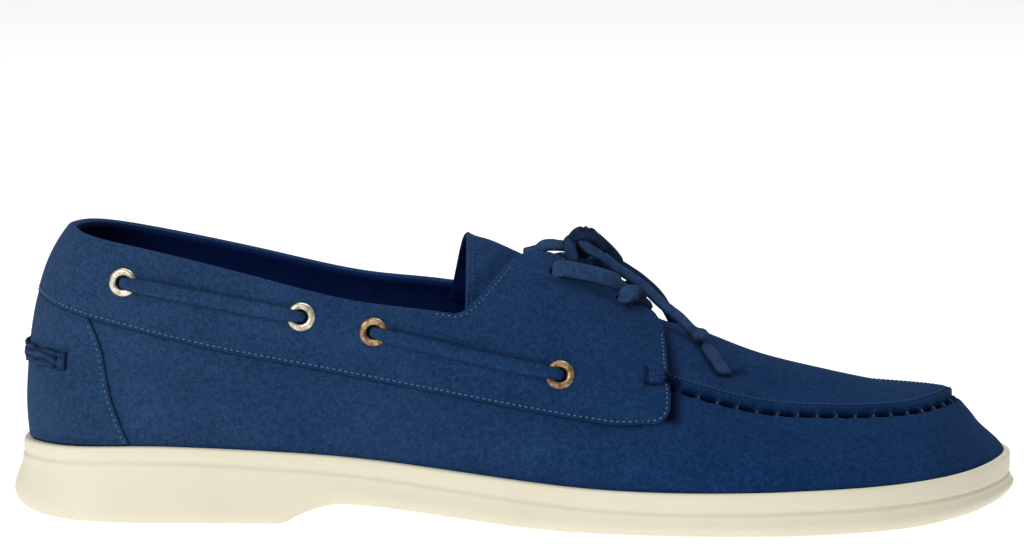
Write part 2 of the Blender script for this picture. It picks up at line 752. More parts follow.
@dataclass(frozen=True)
class Lining:
    """Fine-grained glove leather inside the shoe."""

    name: str = "lining"
    deep: Colour = (0.0018, 0.0090, 0.0560)
    pale: Colour = (0.0030, 0.0130, 0.0800)
    shadow: Colour = (0.0006, 0.0020, 0.0140)

    def paint(self) -> bpy.types.Material:
        """Builds the finish."""
        board = Board(self.name)
        here = board.place()
        grain = board.add("ShaderNodeTexVoronoi", {"feature": "DISTANCE_TO_EDGE"}, Vector=here,
                          Scale=1 / (0.9 * MM))
        cloud = board.noise(here, 9, 3)
        colour = board.mix(cloud, self.deep, self.pale)
        ahead = board.add("ShaderNodeSeparateXYZ", {}, here)
        colour = board.mix(board.ramp(ahead, -0.136, -0.100, 0.85, 0.0), colour, self.shadow)
        board.bump(board.ramp(grain, 0.0, 0.18), 0.06, 0.6)
        return board.set(Base_Color=colour, Roughness=0.78 + 0.1 * cloud, Specular_IOR_Level=0.06)


@dataclass(frozen=True)
class Rubber:
    """Off-white cup sole rubber, matt, with a siped tread on its underside."""

    name: str = "rubber"
    colour: Colour = (0.74, 0.695, 0.545)
    shade: Colour = (0.66, 0.61, 0.465)
    cut: Colour = (0.42, 0.38, 0.28)

    def paint(self) -> bpy.types.Material:
        """Builds the finish."""
        board = Board(self.name)
        here = board.place()
        cloud = board.noise(here, 14, 3)
        pore = board.noise(here, 0.6, 2)
        colour = board.mix(board.ramp(cloud, 0.45, 0.8, 0.0, 0.35), self.colour, self.shade)
        colour = board.mix(board.ramp(board.note("groove"), 0.0, 1.0, 0.0, 0.2), colour, self.shade)
        sipe = board.add("ShaderNodeTexWave", {"bands_direction": "X", "wave_profile": "SIN"},
                         Vector=here, Scale=1 / (2 * math.pi * 2.2 * MM) * 2, Distortion=1.2,
                         Detail=0.0, Detail_Scale=0.4)
        slit = board.ramp(sipe, 0.86, 0.97) * board.note("tread")
        colour = board.mix(slit * 0.7, colour, self.cut)
        board.bump(pore * 0.05 - slit, 0.5, 0.8)
        return board.set(Base_Color=colour, Roughness=0.5 + 0.12 * cloud, Specular_IOR_Level=0.35)


@dataclass(frozen=True)
class EyeletMetal:
    """Thin plated metal, turned and slightly worn."""

    name: str
    bright: Colour
    dull: Colour
    roughness: float = 0.3

    def paint(self) -> bpy.types.Material:
        """Builds the finish."""
        board = Board(self.name)
        here = board.place()
        stain = board.noise(here, 1.6, 4, 0.6)
        scratch = board.noise(board.place((1, 1, 6)), 0.5, 3)
        colour = board.mix(board.ramp(stain, 0.38, 0.62), self.bright, self.dull)
        board.bump(scratch, 0.02, 0.5)
        return board.set(Base_Color=colour, Metallic=1.0, Roughness=self.roughness + 0.2 * stain)


@dataclass(frozen=True)
class Thread:
    """Twisted waxed thread."""

    name: str = "thread"
    colour: Colour = (0.080, 0.140, 0.260)

    def paint(self) -> bpy.types.Material:
        """Builds the finish."""
        board = Board(self.name)
        twist = board.noise(board.place(), 0.3, 2)
        colour = board.mix(twist, tuple(0.75 * c for c in self.colour), tuple(1.2 * c for c in self.colour))
        return board.set(Base_Color=colour, Roughness=0.7 + 0.15 * twist, Sheen_Weight=0.03,
                         Specular_IOR_Level=0.15)


@dataclass(frozen=True)
class LaceLeather:
    """Rolled suede lace: the nap lies along it."""

    name: str = "lace"
    deep: Colour = (0.0110, 0.0380, 0.1080)
    pale: Colour = (0.0370, 0.0740, 0.1620)
    dark: Colour = (0.0004, 0.0020, 0.0130)

    def paint(self) -> bpy.types.Material:
        """Builds the finish."""
        board = Board(self.name)
        fibre = board.noise(board.strip((1, 0.28, 1)), 0.45, 3, 0.6)
        mottle = board.noise(board.place(), 2.2, 3, 0.6)
        share = board.ramp(fibre * 0.6 + mottle * 0.4, 0.34, 0.66)
        colour = board.mix(board.note("shade"), board.mix(share, self.deep, self.pale), self.dark)
        board.bump(fibre * 0.7 + mottle * 0.3, 0.08, 0.6)
        return board.set(Base_Color=colour, Roughness=0.9, Sheen_Weight=0.05, Sheen_Roughness=0.5,
                         Sheen_Tint=(0.5, 0.7, 1.0), Specular_IOR_Level=0.06)


@dataclass(frozen=True)
class PaleFloor:
    """White sweep lit from within, so that shadows on it stay faint."""

    name: str = "floor"
    colour: Colour = (0.62, 0.62, 0.62)
    glow: float = 0.70

    def paint(self) -> bpy.types.Material:
        """Builds the finish."""
        board = Board(self.name)
        cloud = board.noise(board.place(), 300, 2)
        colour = board.mix(cloud, tuple(0.99 * c for c in self.colour), self.colour)
        return board.set(Base_Color=colour, Roughness=0.9, Specular_IOR_Level=0.05,
                         Emission_Color=(1.0, 1.0, 1.0), Emission_Strength=self.glow)


class Finish(Enum):
    """The finishes of the shoe, each with the record's slot that it belongs to."""

    SUEDE = (Suede(), "suede")
    LINING = (Lining(), "lining")
    RUBBER = (Rubber(), "rubber")
    SILVER = (EyeletMetal("eyelet_pale", (0.76, 0.71, 0.58), (0.38, 0.33, 0.23)), "eyelet_metal")
    COPPER = (EyeletMetal("eyelet_copper", (0.50, 0.345, 0.20), (0.17, 0.10, 0.05), 0.36), "eyelet_metal")
    THREAD = (Thread(), "suede")
    HAND_THREAD = (Thread("hand_thread", (0.030, 0.066, 0.155)), "suede")
    LACE = (LaceLeather(), "lace")
    SIDE_LACE = (Suede("side_lace", rubbed=0.0), "lace")


class Wardrobe:
    """Paints each finish once and dresses pieces in them."""

    def __init__(self) -> None:
        self.painted: dict[Finish, bpy.types.Material] = {}

    def material(self, finish: Finish) -> bpy.types.Material:
        """The painted finish."""
        if finish not in self.painted:
            self.painted[finish] = finish.value[0].paint()
        return self.painted[finish]

    def looks(self) -> list[bpy.types.Material]:
        """Suede outside and lining inside."""
        return [self.material(finish) for finish in (Finish.SUEDE, Finish.LINING)]

    def dress(self, piece: bpy.types.Object, finish: Finish, *nodes: str,
              inside: Finish | None = None) -> bpy.types.Object:
        """Finishes a piece, ties it to the body and reports it.

        Args:
            piece: the piece.
            finish: its finish.
            nodes: CAD nodes that it stands for.
            inside: finish of the faces whose material index is 1.

        Returns:
            The piece.
        """
        index = np.zeros(len(piece.data.polygons), int)
        piece.data.polygons.foreach_get("material_index", index)
        piece.data.materials.clear()
        piece.data.materials.append(self.material(finish))
        if inside:
            piece.data.materials.append(self.material(inside))
        piece.data.polygons.foreach_set("material_index", np.minimum(index, 1 if inside else 0))
        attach(piece, BODY)
        if nodes:
            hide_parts(*nodes)
        log.info("%s: %d faces", piece.name, len(piece.data.polygons))
        return piece


# ---------------------------------------------------------------- studio

@dataclass
class Studio:
    """Camera, pale floor and soft light."""

    eye: Sequence[float] = (-0.000945, -0.930, 0.205)
    tilt: float = 8.418
    lens: float = 112.13
    floor_size: float = 9.0
    surround: float = 0.30
    lights: Sequence[tuple[str, Sequence[float], Sequence[float], float, float]] = (
        ("key", (-0.62, -0.80, 0.62), (-0.04, 0, 0.04), 0.7, 6.5),
        ("top", (0.1, 0.3, 1.7), (0, 0, 0.04), 1.4, 15.0),
    )

    def camera(self) -> None:
        """Sets the camera at the shoe's outer side."""
        made = Bench.add(bpy.ops.object.camera_add, location=self.eye,
                         rotation=(math.radians(90 - self.tilt), 0, 0))
        made.name = "camera"
        made.data.lens, made.data.sensor_width = self.lens, 36.0
        made.data.clip_start, made.data.clip_end = 0.05, 30.0
        bpy.context.scene.camera = made

    def build(self) -> None:
        """Adds the floor, the lights and a pale surrounding."""
        floor = Bench.add(bpy.ops.mesh.primitive_plane_add, size=self.floor_size, location=(0, 0, -0.0002))
        floor.name = "floor"
        bpy.ops.object.transform_apply(location=True)
        floor.data.materials.append(PaleFloor().paint())
        for name, place, aim, size, power in self.lights:
            lamp = Bench.add(bpy.ops.object.light_add, type="AREA", location=place)
            lamp.name = lamp.data.name = name
            lamp.data.size, lamp.data.energy = size, power
            lamp.rotation_euler = (Vector(aim) - Vector(place)).to_track_quat("-Z", "Y").to_euler()
        world = bpy.data.worlds.new("surrounding")
        world.use_nodes = True
        glow = world.node_tree.nodes["Background"].inputs
        glow["Color"].default_value, glow["Strength"].default_value = (1, 1, 1, 1), self.surround
        bpy.context.scene.world = world
        bpy.context.scene.view_settings.view_transform = "Standard"
        bpy.context.scene.view_settings.look = "None"


# ---------------------------------------------------------------- front lacing

SADDLE_FACE = 3.3
SADDLE_FRONT = 190.4
LACE = 3.6
LACE_CLEAR = 0.4
EYELET_HOLE = 2.75
# x and height of the eyelets' middles on the saddle's face.
EYELETS = [(36.9, 69.6), (88.0, 60.3), (108.6, 56.3), (161.6, 45.1)]
# Punched lace holes: x and height of the saddle's face, rear and front, by side.
LACE_HOLES = {-1: [(160.8, 69.9), (180.2, 61.8)], 1: [(160.8, 67.6), (180.2, 58.8)]}
REAR_STRANDS = [
    (162.4, -16.5, 71.8), (166.2, -14.9, 71.0), (170.8, -12.4, 69.7), (175.6, -9.6, 68.0),
    (179.8, -6.2, 65.8), (181.2, -0.8, 63.6), (179.6, 3.6, 65.0), (176, 7.2, 68.0),
    (171, 10.8, 69.3), (166.2, 13.6, 69.6), (162.4, 15.2, 69.8),
]
FRONT_STRAND = [
    (182.2, -13.5, 64.3), (184.4, -11.1, 63.6), (186.2, -7.9, 61.7), (187.2, -3.6, 59.3),
    (187.4, 1.0, 58.7), (186.8, 5.4, 59.6), (185.2, 9.8, 61.4), (182.4, 14.2, 61.6),
]
LOOP = [
    (162.9, -4.2, 76.6), (160.4, -6.3, 77.2), (156.6, -6.3, 77.1), (153.0, -3.4, 76.3),
    (151.6, 1.2, 75.6), (153.0, 6.0, 75.2), (156.8, 8.9, 75.0), (161.0, 7.6, 75.4),
    (163.2, 3.5, 76.2),
]
LATERAL_END = [
    (174.9, -4.2, 73.3), (178.8, -3.2, 70.0), (182, -2.4, 67.8), (185.5, -2.6, 65.3),
    (188.5, -3.6, 62.9), (191.5, -5.0, 60.1), (194.4, -6.4, 57.9), (197.2, -7.9, 55.9),
]
MEDIAL_END = [
    (170.6, 5.4, 73.9), (172.8, 7.5, 74.1), (175.4, 9.8, 72.9), (178.4, 11.3, 69.9),
    (182, 12.2, 67.6), (187, 14.4, 63.8), (192.4, 16.8, 58.2),
]
# x, v of the lace's middle where the ends rest on the apron.
LATERAL_REST = [(198.6, 0.941), (201.4, 0.929), (202.7, 0.912), (204.3, 0.888), (206.2, 0.858)]
MEDIAL_REST = [(196.0, 0.872), (200.6, 0.862), (204.8, 0.856), (208.4, 0.852)]
# Straps of the knot: route, direction of the thin side, half width, half thickness, darkness.
KNOT_STRAPS = [
    ([(163.8, -3.0, 76.4), (164.6, -5.0, 78.4), (166.7, -6.6, 79.7), (169.4, -7.1, 80.0), (172.0, -6.6, 79.4),
      (174.0, -5.0, 77.8), (174.9, -3.0, 75.8)], (0.0, -1.0, 0.45), 1.35, 0.75, 0.70),
    ([(165.6, -4.8, 79.2), (165.0, -6.4, 76.8), (165.5, -7.2, 74.6), (166.4, -7.9, 72.6)],
     (-0.1, -1.0, 0.1), 1.9, 1.1, 0.42),
    ([(171.2, 0.3, 79.2), (174.4, 1.2, 76.2), (177.0, 1.6, 73.6), (178.9, 1.6, 71.0), (179.1, 1.0, 69.0)],
     (0.5, -0.8, 0.5), 2.2, 1.5, 0.82),
    ([(168.0, -6.4, 78.6), (170.9, -6.3, 75.9), (173.2, -5.2, 74.4), (174.9, -4.2, 73.3)],
     (0.25, -1.0, 0.5), 1.6, 0.95, 0.08),
]


def punch(spot: tuple[float, float], side: int, out: float, radius: float,
          depth: float = 9.0) -> tuple[Array, Array, float, float]:
    """A hole square to the surface: its middle at a distance out, axis, radius and depth."""
    u, v = LAST.spot(*spot, side, SADDLE_FACE)
    return LAST.skin(u, v, out), LAST.normal(u, v), radius, depth


@dataclass
class FrontLacing:
    """The strands through the lace holes, the bow's knot, its loop and its two loose ends."""

    wardrobe: Wardrobe
    half_wide: float = 2.0
    half_thick: float = 1.1
    tail_wide: float = 1.6
    # Distances from an end's tip: to its knot, to the pinch before its tab, to the tab, to where it lies.
    tied_at: float = 15.8
    pinched_at: float = 12.9
    tab_from: float = 12.8
    lies_from: float = 18.0
    dome_middle: Sequence[float] = (169.2, -2.0, 77.4)
    dome_radii: Sequence[float] = (5.0, 4.9, 4.9)

    @staticmethod
    def up(path: Array) -> Array:
        """Direction square to the throat at each point."""
        lean = np.full(len(path), 0.5)
        return unit(np.stack([lean, path[:, 1] / 28.0, np.ones(len(path))], -1))

    @staticmethod
    def apron(x: float, side: int, v: float) -> Array:
        """The lace's middle where it rests on the apron."""
        return LAST.skin(float(LAST.u_at(x, side)), v, 1.8 + LACE / 2 + LACE_CLEAR)

    def cord(self, name: str, path: Array, up: Array, wide: Array, thick: Array, node: str,
             shade: "Array | float" = 0.1) -> None:
        """A loose stretch of lace, declared with its length and the pieces on it."""
        made = Bench.strap(name, path, up, wide, thick, shade=shade)
        self.wardrobe.dress(made, Finish.LACE, node)
        line = to_scene(path)

    def build_cords(self) -> None:
        """The knot, the loop and both ends."""
        knot = self.knot()
        loop = route(LOOP, 48)
        behind = smooth((158.5 - loop[:, 0]) / 6.0)
        loop += behind[:, None] * np.array([0.9, 0.0, -1.5])
        facing = smooth((1.5 - loop[:, 1]) / 4.0)[:, None]
        up = unit((1 - facing) * self.up(loop) + facing * unit(np.array([0.15, -0.75, 0.75])))
        self.cord("lace_loop_dressed", loop, up, self.half_wide * (1 - 0.45 * hump(loop[:, 1] - 0.5, 3.2)),
                  np.full(48, self.half_thick - 0.2), "lace_loop",
                  0.15 + 0.5 * smooth((loop[:, 1] - 2.0) / 3.0))
        for name, side, stops, rest, node in (
            ("lace_end_lateral_dressed", -1, LATERAL_END, LATERAL_REST, "lace_end_lateral"),
            ("lace_end_medial_dressed", 1, MEDIAL_END, MEDIAL_REST, "lace_end_medial"),
        ):
            path = route(list(stops) + [self.apron(x, side, v) for x, v in rest], 90)
            run = lengths(path)
            left = run[-1] - run
            flank = np.array([0.25, side * 1.0, 0.55])
            lying = smooth((self.lies_from - left) / 5)[:, None]
            up = unit((1 - lying) * unit(flank) + lying * LAST.normal(float(LAST.u_at(203.0, side)), 0.92))
            tied = hump(left - self.tied_at, 2.1)
            pinched = hump(left - self.pinched_at, 1.2)
            tail = smooth((self.tab_from - left) / 2.6)
            wide = self.tail_wide + 1.0 * tied + 1.15 * tail - 0.35 * pinched
            thick = self.half_thick - 0.1 + 1.15 * tied - 0.35 * tail
            sunk = (0.75 * lying[:, 0] * (1 - 0.9 * tied))[:, None]
            seat = LAST.normal(float(LAST.u_at(203.0, side)), 0.9)
            made = path - sunk * seat
            shade = 0.2 + 0.5 * pinched + 0.4 * hump(left - 18.6, 1.0) + 0.08 * tail
            self.cord(name, made, up, wide, thick, node, shade=shade)

    def knot(self) -> bpy.types.Object:
        """The knot: a creased dome with the straps that wrap it and leave it."""
        dome = Bench.add(bpy.ops.mesh.primitive_uv_sphere_add, segments=64, ring_count=40, radius=1)
        points = np.empty(len(dome.data.vertices) * 3)
        dome.data.vertices.foreach_get("co", points)
        points = points.reshape(-1, 3)
        crease = (0.10 * hump(points[:, 0] + 0.30 - 0.25 * points[:, 2], 0.11)
                  + 0.10 * hump(points[:, 0] - 0.32 + 0.2 * points[:, 1], 0.12)
                  + 0.08 * hump(points[:, 2] + 0.15, 0.14))
        points *= (1 - crease)[:, None]
        shade = np.clip(0.66 + 5.5 * crease + 0.55 * smooth((0.1 - points[:, 2]) / 0.35), 0, 0.96)
        dome.data.attributes.new("shade", "FLOAT", "POINT").data.foreach_set("value", shade)
        points = points * np.array(self.dome_radii) + np.array(self.dome_middle)
        dome.data.vertices.foreach_set("co", to_scene(points).ravel())
        dome.data.update()
        pieces = [Bench.close([dome], "lace_knot_dressed")]
        for i, (stops, up, wide, thick, shade) in enumerate(KNOT_STRAPS):
            path = route(stops, 40)
            ends = np.minimum(1.0, 0.72 + 0.28 * np.sin(np.linspace(0, math.pi, 40)) * 2.2)
            pieces.append(Bench.strap(f"knot_strap_{i}", path, unit(np.array(up))[None], wide * ends, thick * ends,
                                      shade=shade, outline=0.75))
        return self.wardrobe.dress(Bench.join(pieces, "lace_knot_dressed"), Finish.LACE, "lace_knot")

    def build_strands(self) -> None:
        """The two stretches that cross the throat from hole to hole."""
        for name, hole, stops, node, wide in (
            ("lace_crossing_dressed", 0, REAR_STRANDS, "lace_crossing", 2.5),
            ("lace_bar_dressed", 1, FRONT_STRAND, "lace_bar", 2.3),
        ):
            ends = []
            for side, lifts in ((-1, (-1.6, 0.6)), (1, (0.6, -1.6))):
                u, v = LAST.spot(*LACE_HOLES[side][hole], side, SADDLE_FACE)
                ends.append([LAST.skin(u, v, SADDLE_FACE + lift) for lift in lifts])
            path = route(ends[0] + list(stops) + ends[1], 90)
            run = lengths(path)
            near = np.minimum(run, run[-1] - run)
            bloom = smooth((near - 0.5) / 3.5)
            flank = np.abs(path[:, 1])
            turned = smooth((flank - 3.0) / 6.0)[:, None]
            side_up = unit(np.stack([np.full(len(path), 0.10), np.sign(path[:, 1]) * 1.0,
                                     np.full(len(path), 0.30)], -1))
            up = unit((1 - turned) * self.up(path) + turned * side_up)
            lowered = -0.5 * turned * smooth((near - 2) / 4)[:, None] * up
            out_of_hole = smooth((near - 1.2) / 2.6)[:, None]
            up = unit((1 - out_of_hole) * np.array([-1.0, 0.0, 0.0]) + out_of_hole * up)
            shade = 0.75 * smooth((near - 6.5) / 3.0) if hole else 0.5 * (1 - turned[:, 0])
            made = Bench.strap(name, path + lowered, up, 1.7 + (wide - 1.7) * bloom, 1.3 - 0.3 * bloom, 3.4,
                               shade=shade)
            self.wardrobe.dress(made, Finish.LACE, node)


# ---------------------------------------------------------------- sole

# x, height of the underside.
UNDERSIDE = [
    (-5, 0), (81, 0), (87, 2.7), (93, 5.0), (98, 6.0), (106, 5.8), (118, 4.6), (135, 2.7),
    (150, 1.1), (165, 0.2), (175, 0), (262, 0), (276, 0.6), (286, 1.4), (298, 3.4),
]
# section number, rim out, body out, groove drop, corner.
SOLE_SIDES = [
    (0, 5.1, 8.2, 4.2, 4.5), (1, 5.0, 7.8, 4.3, 4.2), (2, 4.8, 7.0, 4.4, 3.8),
    (3, 4.6, 6.4, 4.5, 3.5), (5, 4.5, 5.8, 4.9, 3.2), (7, 4.4, 5.4, 5.6, 3),
    (9, 4.4, 5.3, 5.9, 3), (11, 4.4, 5.3, 6.1, 3.2), (13, 4.3, 5.4, 6.4, 3.6),
    (14, 4.2, 5.5, 6.6, 4.2),
]
WALL = 1.8
CUP_PLAY = 0.6


@dataclass
class Sole:
    """The one-piece rubber cup and the sock plate in it."""

    wardrobe: Wardrobe
    columns: int = 420

    def side(self, column: int, u: Array) -> Array:
        """A column of SOLE_SIDES at u."""
        around = np.minimum(u % ROUND, ROUND - u % ROUND)
        return OpenCurve(SOLE_SIDES, column)(around)

    @staticmethod
    def plan(u: Array, out: Array, z: Array) -> Array:
        """Points at a level distance out of the feather edge."""
        x, y = LAST.edge_x(u), LAST.edge_y(u)
        run = unit(np.stack([LAST.edge_x(u + 0.02) - LAST.edge_x(u - 0.02),
                             LAST.edge_y(u + 0.02) - LAST.edge_y(u - 0.02)], -1))
        return np.stack([x + run[..., 1] * out, y - run[..., 0] * out, np.broadcast_to(z, x.shape)], -1)

    @staticmethod
    def gather(ring: Array, share: float) -> Array:
        """A ring drawn towards the middle line of the foot."""
        other = np.roll(ring[::-1], 1, axis=0)
        x = HALF_LENGTH + (ring[:, 0] + other[:, 0] - 2 * HALF_LENGTH) / 2 * 0.86
        middle = np.stack([x, (ring[:, 1] + other[:, 1]) / 2, ring[:, 2]], -1)
        return ring + share * (middle - ring)

    def build(self) -> None:
        """Builds the cup and the sock."""
        u = np.arange(self.columns) * ROUND / self.columns
        under = OpenCurve(UNDERSIDE)
        rim, body, drop, corner = (self.side(k, u) for k in (1, 2, 3, 4))
        top = LAST.rim_z(u)
        groove = top - drop
        foot = under(self.plan(u, body - corner, 0)[:, 0])
        rings: list[tuple[Array, float, float]] = []

        def ring(out: Array, z: Array, dip: float = 0.0) -> None:
            rings.append((self.plan(u, out, z), dip, 0.0))

        tread = self.plan(u, body - corner, foot)
        inner = []
        for share in (1.0, 0.9, 0.75, 0.55, 0.35, 0.15, 0.05):
            drawn = self.gather(tread, share)
            drawn[:, 2] = under(drawn[:, 0])
            inner.append((drawn, 0.0, 1.0))
        rings += inner
        rings.append((tread, 0.0, 1.0))
        wide_z = foot + np.minimum(corner, 0.5 * (groove - foot))
        for angle in np.radians([12, 26, 42, 58, 74, 90]):
            ring(body - corner + corner * math.sin(angle), foot + (wide_z - foot) * (1 - math.cos(angle)))
        shelf_z = groove - 1.2
        for t in (0.12, 0.3, 0.5, 0.7, 0.88):
            ring(body + (rim + 0.35 - body) * float(smooth(np.array(t))), wide_z + (shelf_z - wide_z) * t)
        for rise, out, dip in ((-1.2, 0.35, 0), (-0.8, 0.30, 0), (-0.45, 0.0, 0.6), (-0.15, -0.3, 1),
                               (0.15, -0.38, 1), (0.45, -0.2, 0.8), (0.8, -0.02, 0.3), (1.2, 0.02, 0)):
            ring(rim + out, groove + rise, dip)
        for t in (0.25, 0.5, 0.75):
            ring(rim + 0.04, groove + 1.2 + (top - 0.9 - groove - 1.2) * t)
        for angle in np.radians([0, 22, 45, 68, 90]):
            ring(rim - 0.9 + 0.9 * math.cos(angle), top - 0.9 + 0.9 * math.sin(angle))
        cup = []
        for z in (top, top - 0.5, top - 1.5, top - 3, top - CUP_DEPTH):
            wall = LAST.skin(u, LAST.v_at_height(u, z), WALL + CUP_PLAY)
            wall[:, 2] = z
            cup.append((wall, 0.6, 0.0))
        lip_in = cup[0][0].copy()
        last_rim = rings[-1][0]
        for share in (0.35, 0.7):
            rings.append((last_rim + share * (lip_in - last_rim), 0.0, 0.0))
        rings += cup
        bed = self.plan(u, WALL + CUP_PLAY, LAST.rim_z(u) - CUP_DEPTH)
        for share in (0.0, 0.3, 0.6, 1.0):
            rings.append((self.gather(bed, share), 0.4, 0.0))
        grid = closed(np.array([r for r, _, _ in rings]))
        dips = np.array([[d] for _, d, _ in rings])
        treads = np.array([[t] for _, _, t in rings])
        made = Bench.close([Bench.sheet("outsole_dressed", grid, {"groove": dips, "tread": treads})],
                           "outsole_dressed", sharp=50)
        self.wardrobe.dress(made, Finish.RUBBER, "outsole")
        self.sock()

    def sock(self) -> None:
        """The sock plate with its soft rounded rim."""
        u = np.arange(200) * ROUND / 200
        z = LAST.rim_z(u) - CUP_DEPTH + 0.9
        rings = []
        for out, rise in ((-2.2, 0), (-0.9, 0.1), (-0.6, 1.0), (-0.6, 2.0), (-1.0, 2.7), (-1.8, 3.0)):
            rings.append(self.plan(u, out, z + rise))
        rings = [self.gather(rings[0], s) for s in (1.0, 0.5)] + rings
        for share in (0.15, 0.35, 0.6, 0.85, 1.0):
            rings.append(self.gather(rings[7], share))
        made = Bench.close([Bench.sheet("insole_dressed", closed(np.array(rings)))], "insole_dressed")
        self.wardrobe.dress(made, Finish.LINING, "insole")


# ---------------------------------------------------------------- upper

# u, distance up the rib from the last's own line to the raised seam, on the outer side.
SEAM_SHIFT = [
    (7.0, 0.8), (7.5, 1.4), (8, 2.2), (8.5, 3.0), (9, 3.1), (9.5, 2.6), (10, 2.3), (10.5, 2.4),
    (11, 2.0), (11.5, 1.3), (12, 0.5), (12.5, 0.0), (14, 0.0),
]


